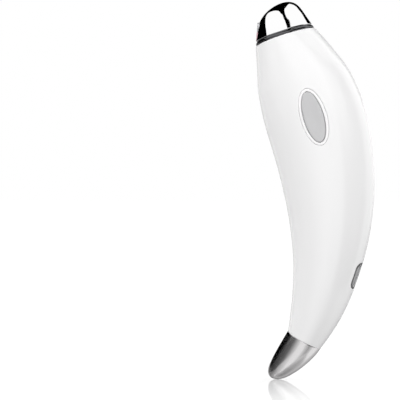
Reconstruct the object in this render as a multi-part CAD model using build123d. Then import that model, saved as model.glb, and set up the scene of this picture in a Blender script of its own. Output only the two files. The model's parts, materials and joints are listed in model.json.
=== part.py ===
from build123d import *
import os
from math import cos, radians, sin, sqrt, tan

# Heated eye massager wand: a crescent handle with a heated metal head and a metal tail.
# Frame: +Z up with the head at the top, +X towards the round back edge of the crescent,
# -Y towards the face with the button.  The halves part in the plane y = 0.
# The origin is the middle of the object's footprint, at the height of the tail's lowest point.

# ---- crescent handle -----------------------------------------------------------------------
body_length = 114.3      # along the spine, from the head joint to the tail joint
spine_lean = 24.5        # degrees the spine leans back from straight down at the head joint
spine_turn = 50.0        # degrees it turns through on its way to the tail joint
spine_bend = 1.4         # power that keeps the upper half straighter than the lower
head_tilt = 18.0         # degrees the head joint's plane leans
tail_tilt = -29.0        # degrees the tail joint's plane leans
tilt_bend = 1.5          # power by which the planes between them turn
shares = (0.0, 0.07, 0.16, 0.28, 0.44, 0.61, 0.78, 0.90, 1.0)
half_widths = (11.4, 14.3, 17.5, 18.8, 17.7, 15.3, 12.0, 9.5, 6.8)
half_depths = (10.6, 11.6, 12.6, 13.2, 13.0, 12.0, 10.2, 8.4, 6.5)
wall = 2.0
lip_height = 1.5         # tongue of the back shell that enters the front shell
lip_gap = 0.08
seat_gap = 0.1           # between a spigot and the wall that it enters
thread_gap = 0.02        # of pieces that are pressed or screwed together
bond = 0.2               # by which two solids of one piece overlap before they are joined
through = 11.4           # long enough to pass through any wall

# ---- massage head --------------------------------------------------------------------------
head_height = 12.5       # from the head joint to the top of the dome
head_taper = 0.4         # share by which the dome narrows
head_depth_taper = 0.41
head_lean = 0.3          # shift of the dome's middle towards the back edge
head_hook = 2.3          # further shift close to the top
head_hook_bend = 3.6
head_round = 6           # power that rounds the top
head_wall = 1.1
collar_height = 1.7
bead_height = 0.9        # ridge round the collar
groove_depth = 0.3
carrier_thickness = 1.9
spigot_length = 5.0
spigot_wall = 1.2
head_lead_across = -5.6  # way through the disc for the head's leads
head_lead_length = 2.6
head_lead_width = 3.4
head_screw_inset = 3.3   # from the dome's inside to the screws' axes
head_boss_radius = 1.7
head_boss_top = 7.5
gasket_height = 1.2
gasket_depth = 0.5

# ---- heated contact and light window -------------------------------------------------------
contact_height = 6.9     # both halves together, along the face
contact_width = 8.4
contact_corner = 2.6
contact_thickness = 1.8
contact_crown = 9.5      # radius of the crowned outer face
contact_lean = 22.9      # degrees the face leans from the head's axis
contact_across = 9.35    # from the head's axis to the middle of the face
contact_up = 5.35        # from the head joint to the middle of the face
contact_split = 0.1      # gap between contact and window
contact_gap = 0.06       # round both, in the dome's pocket
pocket_depth = 4.8       # cut through the dome's wall
window_thickness = 0.9
film_thickness = 0.3
led_size = 1.6
led_pitch = 2.7
led_thickness = 0.7
led_board_height = 2.4
led_board_width = 5.9
led_board_thickness = 0.5
holder_thickness = 1.5
holder_inset = 0.3       # from the pocket's outline, and the film's
bead_radius = 0.5        # thermistor
bead_length = 2.2
bead_up = 1.7            # from the pad's middle

# ---- vibration motor -----------------------------------------------------------------------
motor_across = 1.0       # motor's axis from the head's axis
motor_radius = 3.5
motor_length = 12.0
motor_wall = 0.4
motor_top_gap = 0.3      # below the carrier's disc
end_cap_thickness = 1.2
armature_radius = 2.7
shaft_radius = 0.5
shaft_gap = 0.03
shaft_way_radius = 1.5   # through the carrier's disc
hub_radius = 1.5
shaft_reach = 4.2        # above the carrier's disc
weight_radius = 3.2
weight_thickness = 3.0
weight_clear = 0.7       # above the carrier's disc
weight_flat = 0.7        # from the shaft's axis to the flat side
rotor_gap = 0.4          # at both ends of the armature
shaft_foot_gap = 0.1
sleeve_thickness = 0.8
sleeve_length = 8.4
motor_socket_wall = 1.0
motor_socket_length = 9.0

# ---- button and switch ---------------------------------------------------------------------
button_share = 0.28     # place along the spine
button_across = 2.67     # from the spine, towards the back edge
button_lean = 17.3
button_half_length = 9.5
button_half_width = 3.65
button_proud = 0.3
button_gap = 0.15        # round the cap, in its bezel
button_travel = 0.5
flange_width = 0.9
flange_thickness = 1.0
bezel_width = 1.0
bezel_depth = 1.2
bezel_proud = 0.12
bezel_gap = 0.1
switch_size = 6.0
switch_height = 3.4
plunger_radius = 1.7
plunger_reach = 1.4
plunger_foot = 0.1       # end that stays inside the body
plunger_gap = 0.15       # below the cap, and round the plunger
plunger_well = 0.7       # below the pressed plunger's foot

# ---- circuit board, frame and battery ------------------------------------------------------
board_lean = 14.0
board_width = 15.0
board_above = 9.0        # from the switch to the board's upper end
board_below = 24.0
board_thickness = 1.0
board_corner = 1.5
standoff_height = 0.8
standoff_radius = 1.6
peg_radius = 0.7
peg_gap = 0.1
peg_inset = 2.0          # from the board's edges to the pegs' axes
peg_reach = 0.5          # past the board's face
socket_height = 2.2
socket_length = 3.4
socket_width = 3.6
socket_apart = 4.4
socket_inset = 2.3
charge_socket_across = -2.4
charge_socket_inset = 4.6
frame_thickness = 1.2
frame_gap = 0.4
frame_start = 0.18       # shares of the spine between which the frame lies
frame_end = 0.90
cell_share = 0.525
cell_length = 33.0
cell_width = 16.0
cell_thickness = 5.6
cell_corner = 1.6
cell_round = 1.0
tape_thickness = 0.5
tape_margin = 2.0
tray_gap = 0.3
tray_wall = 1.0
tray_height = 3.5
notch_length = 4.0       # way through the tray's wall for the cell's leads
notch_width = 7.0
lead_window_length = 5.5 # holes in the frame
lead_window_width = 4.5
boss_radius = 2.1
screw_radius = 0.8
screw_head_radius = 1.5
screw_head_height = 0.9
screw_gap = 0.1          # round a shank, in the piece that it passes
screw_spare = 0.6        # end of a hole that its screw leaves free
cross_width = 0.35       # of the drive in a screw's head
cross_depth = 0.4
screw_reach = 4.5
boss_places = ((0.235, 13.4), (0.235, -12.3), (0.865, 0.0))    # share, across

# ---- charging port -------------------------------------------------------------------------
port_share = 0.7605
port_sink = 0.12         # from the shells' surface down to the port's face
port_length = 9.8
port_width = 6.8
port_corner = 2.4
port_gap = 0.08
port_flange = 0.8
port_flange_thickness = 0.9
port_flange_depth = 3.6  # from the port's face to the flange
port_room = 1.0          # round the port, in the frame
usb_length = 8.94        # the usual size of this receptacle
usb_width = 3.26
usb_depth = 7.3
usb_wall = 0.31
usb_gap = 0.08
usb_sink = 0.3
tongue_length = 6.7
tongue_width = 0.7
tongue_reach = 4.5
tongue_root = 1.8
charge_board_length = 14.0
charge_board_depth = 10.0
charge_board_start = 4.6 # from the port's face to the board's edge
charge_board_thickness = 0.8
charge_post_radius = 1.3
charge_post_inset = 1.6
charge_chip_length = 2.6
charge_chip_width = 2.2
charge_chip_height = 1.0

# ---- tail ----------------------------------------------------------------------------------
tail_height = 18.4
tail_taper = 0.54
tail_taper_bend = 1.76
tail_round = 11
tail_hook = 3.85         # shift of the tip towards the hollow edge
tail_hook_bend = 1.45
tail_wall = 1.2
tail_disc = 2.2
tail_spigot = 5.5
tail_boss_radius = 2.0
tail_boss_depth = 6.0

# ---- leads ---------------------------------------------------------------------------------
lead_radius = 0.35
lead_spacing = 1.1       # between the two leads of a pair
lead_rise = 2.6          # straight run at each end
heater_lead_up = 0.5     # from the pad's middle
heater_lead_rise = 1.5
charge_lead_along = -3.0 # from the port's axis
charge_lead_bend = (0.4, 6.5)
charge_lead_bow = (-1.0, -0.4, 0)


# ---- spine and sections --------------------------------------------------------------------
def spine_point(share):
    """Point of the spine, by adding up its lean from the head joint."""
    steps = 240
    x = z = 0.0
    for i in range(steps):
        lean = radians(spine_lean - spine_turn * (share * (i + 0.5) / steps) ** spine_bend)
        x += sin(lean) * body_length * share / steps
        z -= cos(lean) * body_length * share / steps
    return x, z


def station(share):
    """Plane of a cross section: x across to the back edge, y to the back, z to the head."""
    x, z = spine_point(share)
    tilt = radians(head_tilt - (head_tilt - tail_tilt) * share ** tilt_bend)
    return Plane((x, 0, z), x_dir=(cos(tilt), 0, sin(tilt)), z_dir=(-sin(tilt), 0, cos(tilt)))


def between(values, share):
    """Value at a share of the spine, on a smooth curve through the sections' values."""
    last = len(shares) - 1
    i = max(k for k in range(last) if shares[k] <= share)
    slopes = []
    for k in (i, i + 1):
        low, high = max(k - 1, 0), min(k + 1, last)
        slopes.append((values[high] - values[low]) / (shares[high] - shares[low]))
    span = shares[i + 1] - shares[i]
    t = (share - shares[i]) / span
    rise = values[i + 1] - values[i]
    pull = (1 - t) * (slopes[0] * span - rise) - t * (slopes[1] * span - rise)
    return values[i] + t * rise + t * (1 - t) * pull


def oval(half_width, half_depth):
    """Ellipse that always starts on its +x side."""
    return scale(Circle(1), by=(half_width, half_depth, 1))


def body_form(grow):
    """The handle's solid, grown or shrunk in every cross section."""
    return loft([station(s) * oval(w + grow, d + grow)
                 for s, w, d in zip(shares, half_widths, half_depths)])


def dome(base_width, base_depth, height, width_law, depth_law, shift_law, sign):
    """Rounded end: ovals that narrow along z until they close at the tip."""
    levels = (0, 0.22, 0.42, 0.6, 0.75, 0.86, 0.94, 0.985, 0.999)
    return loft([Plane((shift_law(t), 0, sign * t * height))
                 * oval(base_width * width_law(t), base_depth * depth_law(t)) for t in levels])


def head_form(grow):
    """The head's solid in the head joint's frame."""
    rounding = lambda t: sqrt(1 - t ** head_round)
    return dome(half_widths[0] + grow, half_depths[0] + grow, head_height + grow,
                lambda t: (1 - head_taper * t) * rounding(t),
                lambda t: (1 - head_depth_taper * t) * rounding(t),
                lambda t: head_lean * t + head_hook * t ** head_hook_bend, 1)


def tail_form(grow):
    """The tail's solid in the tail joint's frame, reaching down."""
    law = lambda t: (1 - tail_taper * t ** tail_taper_bend) * sqrt(1 - t ** tail_round)
    return dome(half_widths[-1] + grow, half_depths[-1] + grow, tail_height + grow,
                law, law, lambda t: -tail_hook * t ** tail_hook_bend, -1)


def slab(low, high, axis=Axis.Z):
    """Layer between two heights, wide enough to cut any piece."""
    size = 3 * body_length
    if axis == Axis.Y:
        return Pos(0, (low + high) / 2, 0) * Box(size, high - low, size)
    return Pos(0, 0, (low + high) / 2) * Box(size, size, high - low)


def stub(plane, radius, low, high):
    """Round bar along a plane's normal."""
    return plane * Pos(0, 0, (low + high) / 2) * Cylinder(radius, high - low)


def facing_front(x, y, z, lean):
    """Plane that looks to the front: x across, y up along the lean, z towards the front."""
    a = radians(lean)
    return Plane((x, y, z), x_dir=(cos(a), 0, sin(a)), z_dir=(0, -1, 0))


def leads(stops):
    """Pair of leads: straight runs joined by tangent arcs, past stops of (point, side)."""
    wires = []
    for offset in (-lead_spacing / 2, lead_spacing / 2):
        route = [point + side * offset for point, side in stops]
        radii = []
        for a, b, c in zip(route, route[1:], route[2:]):
            turn = radians((b - a).get_angle(c - b))
            shorter = min((b - a).length, (c - b).length)
            radii.append(0.45 * shorter / tan(turn / 2))
        path = FilletPolyline(*route, radius=radii)
        profile = Plane(route[0], z_dir=route[1] - route[0]) * Circle(lead_radius)
        wires.append(sweep(profile, path=path))
        print("lead radii", [round(r, 1) for r in radii])
    return wires


top = station(0)
bottom = station(1)
outer = body_form(0)
cavity = body_form(-wall)
far = 2 * body_length


# ---- places that several pieces share ------------------------------------------------------
def place(share, across):
    """Point in the plane of symmetry, at a share of the spine and across it."""
    p = station(share).from_local_coords((across, 0, 0))
    return p.X, p.Z


def inner_depth(share, across):
    """Half the cavity's depth at a distance from the spine."""
    w = between(half_widths, share) - wall
    return (between(half_depths, share) - wall) * sqrt(1 - (across / w) ** 2)


button_x, button_z = place(button_share, button_across)
button_face = facing_front(button_x, 0, button_z, button_lean)
flange_half_length = button_half_length + flange_width
flange_half_width = button_half_width + flange_width
flange_shares = [button_share + k * flange_half_length / body_length for k in (-1, -0.5, 0, 0.5, 1)]
flange_edge = abs(button_across) + flange_half_width
flange_front = -min(inner_depth(s, flange_edge) for s in flange_shares) + plunger_gap
flange_back = flange_front + flange_thickness
plunger_top = flange_back + plunger_gap
switch_front = plunger_top + plunger_reach
board_front = switch_front + switch_height
board_back = board_front + board_thickness
frame_front = board_back + standoff_height
frame_back = frame_front + frame_thickness
board_face = facing_front(button_x, board_front, button_z, board_lean)
cell_x, cell_z = place(cell_share, 0)
cell_lean = head_tilt - (head_tilt - tail_tilt) * cell_share ** tilt_bend
cell_front = frame_back + tape_thickness
cell_face = facing_front(cell_x, cell_front, cell_z, cell_lean)


def edge_point(share):
    x, z = place(share, between(half_widths, share))
    return Vector(x, 0, z)


edge_run = edge_point(port_share - 0.02) - edge_point(port_share + 0.02)
edge_run = edge_run.normalized()
port_out = Vector(edge_run.Z, 0, -edge_run.X)
port_face = Plane(edge_point(port_share) - port_out * port_sink, x_dir=edge_run, z_dir=port_out)


def slot(length, width, low, high):
    """Bar with round ends along the port's axis."""
    return port_face * Pos(0, 0, low) * extrude(SlotOverall(length, width), high - low)


# ---- handle shells -------------------------------------------------------------------------
def button_hole():
    """Stepped opening for the bezel and the cap."""
    seat = button_face * extrude(oval(button_half_width + button_gap + bezel_width + bezel_gap,
                                      button_half_length + button_gap + bezel_width + bezel_gap), far)
    way = button_face * extrude(oval(button_half_width + button_gap,
                                     button_half_length + button_gap), far)
    return (seat - body_form(-bezel_depth)) + way


def boss_points():
    for share, across in boss_places:
        x, z = place(share, across)
        yield facing_front(x, frame_front, z, 0)


def front_shell():
    half = (outer - cavity) & slab(-far, 0, Axis.Y)
    rebate = body_form(-wall / 2) & slab(-lip_height - lip_gap, bond, Axis.Y)
    half -= rebate
    for spot in boss_points():
        post = stub(spot, boss_radius, 0, far) & body_form(-wall / 2)
        half += post - stub(spot, screw_radius, 0, screw_reach)
    half -= button_hole()
    return half - port_hole()


def port_block(grow, low, high):
    """Rounded bar along the port's axis."""
    outline = RectangleRounded(port_length + 2 * grow, port_width + 2 * grow, port_corner + grow)
    return port_face * Pos(0, 0, low) * extrude(outline, high - low)


def port_flange_block(gap):
    return port_block(port_flange + gap, -port_flange_depth - port_flange_thickness, -port_flange_depth)


def port_hole():
    return port_block(port_gap, -through, through) + port_flange_block(port_gap)


def back_shell():
    half = (outer - cavity) & slab(0, far, Axis.Y)
    lip = (body_form(-wall / 2 - lip_gap) - cavity) & slab(-lip_height, bond, Axis.Y)
    return half + lip - port_hole()


# ---- head ----------------------------------------------------------------------------------
contact_face = Plane((-contact_across, 0, contact_up),
                     x_dir=(sin(radians(contact_lean)), 0, cos(radians(contact_lean))),
                     z_dir=(-cos(radians(contact_lean)), 0, sin(radians(contact_lean))))
head_screw_y = half_depths[0] - head_wall - head_screw_inset
head_screw_spots = [Plane((motor_across, side * head_screw_y, 0)) for side in (-1, 1)]
rotor_low = carrier_thickness + weight_clear


def contact_block(grow, low, high):
    """Rounded block on the contact face, x up along the face."""
    outline = RectangleRounded(contact_height + 2 * grow, contact_width + 2 * grow, contact_corner + grow)
    return contact_face * Pos(0, 0, low) * extrude(outline, high - low)


def crowned(block):
    """Block with its outer face crowned across the width."""
    rod = contact_face * Pos(0, 0, -contact_crown) * Rot(0, 90, 0) * Cylinder(contact_crown, far)
    return block & rod


def contact_half(side, low, high, margin):
    """Upper (+1) or lower (-1) half of the space on the contact face."""
    reach = contact_height / 2 - margin
    middle = side * (contact_split / 2 + reach / 2)
    return contact_face * Pos(middle, 0, (low + high) / 2) * Box(reach, far, high - low)


def massage_head():
    shell = (head_form(0) - head_form(-head_wall)) & slab(collar_height, far)
    for spot in head_screw_spots:
        post = stub(spot, head_boss_radius, carrier_thickness, head_boss_top) & head_form(-head_wall / 2)
        shell += post - stub(spot, screw_radius, 0, carrier_thickness + screw_reach)
    return top * (shell - contact_block(contact_gap, -pocket_depth, through))


def contact_plate():
    pad = crowned(contact_block(0, -contact_thickness, contact_thickness))
    return top * (pad & contact_half(1, -far, far, 0))


def light_window():
    pad = crowned(contact_block(0, -window_thickness, window_thickness))
    return top * (pad & contact_half(-1, -far, far, 0))


def heater_film():
    pad = contact_block(-holder_inset, -contact_thickness - film_thickness, -contact_thickness)
    return top * (pad & contact_half(1, -far, far, holder_inset))


led_up = -(contact_split + led_board_height) / 2 - seat_gap


def led_board():
    board = Box(led_board_height, led_board_width, led_board_thickness)
    return top * contact_face * Pos(led_up, 0, -contact_thickness - led_board_thickness / 2) * board


def head_leds():
    places = GridLocations(1, led_pitch, 1, 2)
    body = Pos(led_up, 0, led_thickness / 2 - contact_thickness) * Box(led_size, led_size, led_thickness)
    return [top * contact_face * spot * body for spot in places]


def contact_holder():
    low = -contact_thickness - film_thickness - holder_thickness
    block = contact_block(-holder_inset, low, -contact_thickness - film_thickness)
    block -= contact_half(-1, -contact_thickness - led_board_thickness, through, -contact_corner)
    block -= contact_face * thermistor_bar(peg_gap)
    return top * (block & head_form(-head_wall - contact_gap) & slab(carrier_thickness + seat_gap, far))


def thermistor_bar(grow):
    z = -contact_thickness - film_thickness - bead_radius
    bar = Cylinder(bead_radius + grow, bead_length + 2 * grow)
    return Pos(bead_up, 0, z) * Rot(90, 0, 0) * bar


def thermistor():
    return top * contact_face * thermistor_bar(0)


def head_collar():
    ring = head_form(-groove_depth) & slab(0, collar_height)
    middle = collar_height / 2
    ring += head_form(0) & slab(middle - bead_height / 2, middle + bead_height / 2)
    return top * (ring - head_form(-head_wall))


motor_axis = Plane((motor_across, 0, 0))


def head_carrier():
    disc = head_form(-head_wall - seat_gap) & slab(0, carrier_thickness)
    spigot = (top.location.inverse() * body_form(-wall - seat_gap)) & slab(-spigot_length, bond)
    spigot -= (top.location.inverse() * body_form(-wall - seat_gap - spigot_wall)) & slab(-far, 0)
    piece = disc + spigot
    low = -motor_top_gap - motor_socket_length
    piece += stub(motor_axis, motor_radius + sleeve_thickness + motor_socket_wall, low, 0)
    piece -= stub(motor_axis, motor_radius + sleeve_thickness, low, -motor_top_gap)
    piece -= stub(motor_axis, shaft_way_radius, -carrier_thickness, carrier_thickness)
    for spot in head_screw_spots:
        piece -= stub(spot, screw_radius + screw_gap, -carrier_thickness, carrier_thickness)
        piece -= stub(spot, screw_head_radius + screw_gap, -2 * spigot_length, 0)
    piece -= Pos(head_lead_across, 0, 0) * Box(head_lead_length, head_lead_width, 4 * carrier_thickness)
    return top * piece - gasket_band(top, -1)


def gasket_band(joint, direction):
    """Ring in the spigot's groove, against the handle's wall."""
    middle = direction * spigot_length / 2
    layer = joint * slab(middle - gasket_height / 2, middle + gasket_height / 2)
    return (body_form(-wall - thread_gap) - body_form(-wall - seat_gap - gasket_depth)) & layer


def screw(spot, under_head, reach):
    """Pan-head screw: its shank runs along +z from under the head."""
    shank = stub(spot, screw_radius - thread_gap, under_head, under_head + reach)
    head = stub(spot, screw_head_radius, under_head - screw_head_height, under_head)
    cross = Box(screw_head_radius * 1.2, cross_width, 2 * cross_depth)
    cross += Box(cross_width, screw_head_radius * 1.2, 2 * cross_depth)
    return shank + head - spot * Pos(0, 0, under_head - screw_head_height) * cross


def head_screws():
    return [top * screw(spot, 0, carrier_thickness + screw_reach - screw_spare) for spot in head_screw_spots]


# ---- motor ---------------------------------------------------------------------------------
motor_top = -motor_top_gap
motor_low = motor_top - motor_length


def motor_can():
    can = stub(motor_axis, motor_radius, motor_low + end_cap_thickness, motor_top)
    can -= stub(motor_axis, motor_radius - motor_wall, motor_low, motor_top - 2 * motor_wall)
    return top * (can - stub(motor_axis, shaft_radius + shaft_gap, motor_low, 0))


def motor_end_cap():
    rim = motor_low + end_cap_thickness
    cap = stub(motor_axis, motor_radius, motor_low, rim)
    cap += stub(motor_axis, motor_radius - motor_wall - thread_gap, motor_low, rim + end_cap_thickness)
    return top * (cap - stub(motor_axis, shaft_radius + shaft_gap, rim - end_cap_thickness / 2, 0))


def motor_armature():
    low = motor_low + 2 * end_cap_thickness + rotor_gap
    coil = stub(motor_axis, armature_radius, low, motor_top - 2 * motor_wall - rotor_gap)
    return top * (coil - stub(motor_axis, shaft_radius, motor_low, 0))


def motor_shaft():
    low = motor_low + end_cap_thickness / 2 + shaft_foot_gap
    return top * stub(motor_axis, shaft_radius, low, carrier_thickness + shaft_reach)


def eccentric_weight():
    disc = stub(motor_axis, weight_radius, rotor_low, rotor_low + weight_thickness)
    half = Pos(motor_across - weight_radius - weight_flat, 0, 0) * Box(2 * weight_radius, far, far)
    hub = stub(motor_axis, hub_radius, rotor_low, rotor_low + weight_thickness)
    return top * (disc - half + hub - stub(motor_axis, shaft_radius, 0, far))


def motor_sleeve():
    ring = stub(motor_axis, motor_radius + sleeve_thickness, motor_top - sleeve_length, motor_top)
    return top * (ring - stub(motor_axis, motor_radius, motor_low, 0))


# ---- button and switch ---------------------------------------------------------------------
def button_cap():
    stem = button_face * extrude(oval(button_half_width, button_half_length), far)
    stem = (stem & body_form(button_proud)) & slab(-far, flange_back, Axis.Y)
    flange = button_face * extrude(oval(flange_half_width, flange_half_length), far)
    return stem + (flange & slab(flange_front, flange_back, Axis.Y))


def button_bezel():
    low, high = button_gap, button_gap + bezel_width
    ring = extrude(oval(button_half_width + high, button_half_length + high), far)
    ring -= extrude(oval(button_half_width + low, button_half_length + low), far)
    return (button_face * ring) & (body_form(bezel_proud) - body_form(-bezel_depth))


def on_board(across, up, low, high, length, height):
    """Block on the board: low and high are counted from its front face to the front."""
    return board_face * Pos(across, up, (low + high) / 2) * Box(length, height, high - low)


def switch_body():
    body = on_board(0, 0, 0, switch_height, switch_size, switch_size)
    low = switch_height - button_travel - plunger_well
    return body - stub(board_face, plunger_radius + plunger_gap, low, far)


def switch_plunger():
    return stub(board_face, plunger_radius, switch_height - plunger_foot, switch_height + plunger_reach)


# ---- circuit board and frame ---------------------------------------------------------------
board_middle = (board_above - board_below) / 2
board_height = board_above + board_below
peg_spots = [(a, b) for a in (peg_inset - board_width / 2, board_width / 2 - peg_inset)
             for b in (board_above - peg_inset, peg_inset - board_below)]


def circuit_board():
    outline = Pos(0, board_middle) * RectangleRounded(board_width, board_height, board_corner)
    board = board_face * Pos(0, 0, -board_thickness) * extrude(outline, board_thickness)
    for a, b in peg_spots:
        board -= stub(board_face * Pos(a, b, 0), peg_radius + peg_gap, -2 * board_thickness, board_thickness)
    return board


socket_places = [(way * socket_apart / 2, board_above - socket_inset) for way in (-1, 1)]
socket_places.append((charge_socket_across, charge_socket_inset - board_below))
chip_places = ((-2.2, -9.5, 5.0, 4.0, 1.4), (3.2, -9.0, 2.4, 3.0, 1.0), (2.8, -13.8, 3.2, 3.2, 1.8),
               (-3.4, -15.0, 2.0, 1.4, 0.8), (-0.6, -15.0, 2.0, 1.4, 0.8), (-5.4, 2.0, 1.8, 1.2, 0.7))


def control_chips():
    return [on_board(a, b, 0, tall, long, high) for a, b, long, high, tall in chip_places]


def board_sockets():
    """Sockets near the board's ends, where the leads of the head, motor and charger plug in."""
    return [on_board(a, b, 0, socket_height, socket_width, socket_length) for a, b in socket_places]


def inner_frame():
    plate = body_form(-wall - frame_gap) & slab(frame_front, frame_back, Axis.Y)
    plate = plate & (station(frame_start) * slab(-far, 0)) & (station(frame_end) * slab(0, far))
    for a, b in peg_spots:
        spot = board_face * Pos(a, b, -board_thickness)
        plate += stub(spot, standoff_radius, -standoff_height, 0)
        plate += stub(spot, peg_radius, 0, board_thickness + peg_reach)
    side = tray_gap + tray_wall
    tray = RectangleRounded(cell_width + 2 * side, cell_length + 2 * side, cell_corner + side)
    tray -= RectangleRounded(cell_width + 2 * tray_gap, cell_length + 2 * tray_gap, cell_corner + tray_gap)
    plate += cell_face * Pos(0, 0, -tray_height) * extrude(tray, tray_height + tape_thickness)
    plate -= cell_face * Pos(0, cell_length / 2, -tray_height) * Box(notch_width, notch_length,
                                                                   2 * tray_height)
    for spot in boss_points():
        plate -= stub(spot, screw_radius + screw_gap, -2 * frame_thickness, frame_thickness)
    plate -= slot(port_length + 2 * port_flange + port_room, port_length,
                  -usb_sink - usb_depth - port_room, through)
    plate += [charge_post(side) for side in (-1, 1)]
    for window in lead_windows():
        plate -= window
    return plate


def charge_post(side):
    spot = port_face * Pos(side * (charge_board_length / 2 - charge_post_inset), 0,
                           charge_post_inset - charge_board_start - charge_board_depth)
    bar = spot * Rot(90, 0, 0) * Cylinder(charge_post_radius, far)
    return bar & slab(frame_back, usb_width / 2, Axis.Y)


def lead_windows():
    """Holes in the frame for the leads that cross from the battery's side to the board's."""
    for stops in (battery_stops(), charge_stops()):
        (a, _), (b, _) = stops[1:3]
        spot = a + (b - a) * ((frame_front + frame_back) / 2 - a.Y) / (b.Y - a.Y)
        yield Pos(*spot) * Box(lead_window_width, 3 * frame_thickness, lead_window_length)


def frame_screws():
    reach = frame_thickness + screw_reach - screw_spare
    return [screw(spot, -frame_thickness, reach) for spot in boss_points()]


# ---- battery -------------------------------------------------------------------------------
def battery_cell():
    outline = RectangleRounded(cell_width, cell_length, cell_corner)
    cell = cell_face * Pos(0, 0, -cell_thickness) * extrude(outline, cell_thickness)
    return fillet(cell.edges().filter_by(GeomType.LINE, reverse=False).filter_by(
        lambda e: abs(e.center().Y - cell_front - cell_thickness) < thread_gap), cell_round)


def battery_tape():
    return cell_face * Pos(0, 0, tape_thickness / 2) * Box(cell_width - 2 * tape_margin,
                                                          cell_length - 2 * tape_margin, tape_thickness)


# ---- charging port -------------------------------------------------------------------------
def port_bezel():
    body = port_block(0, -port_flange_depth, through) & body_form(-port_sink)
    body += port_flange_block(0)
    return body - slot(usb_length + 2 * usb_gap, usb_width + 2 * usb_gap, -through, 1)


def usb_shell():
    tube = slot(usb_length, usb_width, -usb_sink - usb_depth, -usb_sink)
    return tube - slot(usb_length - 2 * usb_wall, usb_width - 2 * usb_wall, -through, 1)


def usb_tongue():
    low = -usb_sink - usb_depth
    block = slot(usb_length - 2 * usb_wall, usb_width - 2 * usb_wall, low, low + tongue_root)
    leaf = Box(tongue_length, tongue_width, tongue_reach)
    return block + port_face * Pos(0, 0, low + tongue_root + tongue_reach / 2) * leaf


def charge_board():
    middle = -charge_board_start - charge_board_depth / 2
    y = -usb_width / 2 - charge_board_thickness / 2
    board = Box(charge_board_length, charge_board_thickness, charge_board_depth)
    return port_face * Pos(0, y, middle) * board


def charge_chips():
    middle = charge_chip_length - charge_board_start - charge_board_depth
    y = -(usb_width + charge_chip_height) / 2 - charge_board_thickness
    chip = Box(charge_chip_length, charge_chip_height, charge_chip_width)
    return [port_face * Pos(side * charge_chip_length, y, middle) * chip for side in (-1, 1)]


# ---- tail ----------------------------------------------------------------------------------
def tail_cap():
    cup = tail_form(0) - tail_form(-tail_wall)
    boss = stub(Plane.XY, tail_boss_radius, -tail_height, -tail_disc) & tail_form(-tail_wall / 2)
    cup += boss - stub(Plane.XY, screw_radius, -tail_disc - tail_boss_depth, 0)
    return bottom * cup


def tail_plug():
    disc = tail_form(-tail_wall - seat_gap) & slab(-tail_disc, 0)
    lift = bottom.location.inverse()
    spigot = (lift * body_form(-wall - seat_gap)) & slab(-bond, tail_spigot)
    spigot -= (lift * body_form(-wall - seat_gap - spigot_wall)) & slab(0, far)
    piece = disc + spigot - stub(Plane.XY, screw_radius + screw_gap, -far, far)
    return bottom * piece - gasket_band(bottom, 1)


def tail_screw():
    spot = bottom * Plane((0, 0, 0), x_dir=(1, 0, 0), z_dir=(0, 0, -1)).location
    return screw(Plane(spot), 0, tail_disc + tail_boss_depth - screw_spare)


# ---- leads: two wires each ------------------------------------------------------------------
def socket_end(index, way):
    """Last straight run of a pair: away from a socket's end face, and the face itself."""
    a, b = socket_places[index]
    side = board_face.x_dir
    face = board_face.from_local_coords((a, b + way * socket_length / 2, socket_height / 2))
    return [(face + board_face.y_dir * way * lead_rise, side), (face, side)]


def motor_leads():
    side = Vector(0, 1, 0)
    start = [(top.from_local_coords((motor_across, 0, motor_low - z)), side) for z in (0, lead_rise)]
    return leads(start + socket_end(1, 1))


def heater_leads():
    side = Vector(0, 1, 0)
    low = -contact_thickness - film_thickness - holder_thickness
    start = [contact_face.from_local_coords((heater_lead_up, 0, low - z)) for z in (0, heater_lead_rise)]
    ways = [Vector(head_lead_across, 0, z) for z in (-heater_lead_rise, motor_low - heater_lead_rise / 2)]
    return leads([(top.from_local_coords(p), side) for p in start + ways] + socket_end(0, 1))


def battery_stops():
    side = Vector(1, 0, 0)
    ends = [cell_length / 2 + z for z in (0, lead_rise)]
    start = [cell_face.from_local_coords((0, z, -cell_thickness / 2)) for z in ends]
    end = Vector(start[1].X, board_back, start[1].Z)
    return [(p, side) for p in start + [end]]


def charge_stops():
    side = port_face.x_dir
    y = -usb_width / 2 - charge_board_thickness / 2
    low = -charge_board_start - charge_board_depth
    start = [port_face.from_local_coords((charge_lead_along, y, low - z)) for z in (0, lead_rise)]
    last = socket_end(2, -1)
    front = last[0][0].Y
    rise = start[1] + Vector(charge_lead_bend[0], front - start[1].Y, charge_lead_bend[1])
    middle = (rise + last[0][0]) * 0.5 + Vector(*charge_lead_bow)
    return [(p, side) for p in start] + [(p, board_face.x_dir) for p in (rise, middle)] + last


def battery_leads():
    return leads(battery_stops())


def charge_leads():
    return leads(charge_stops())


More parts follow.
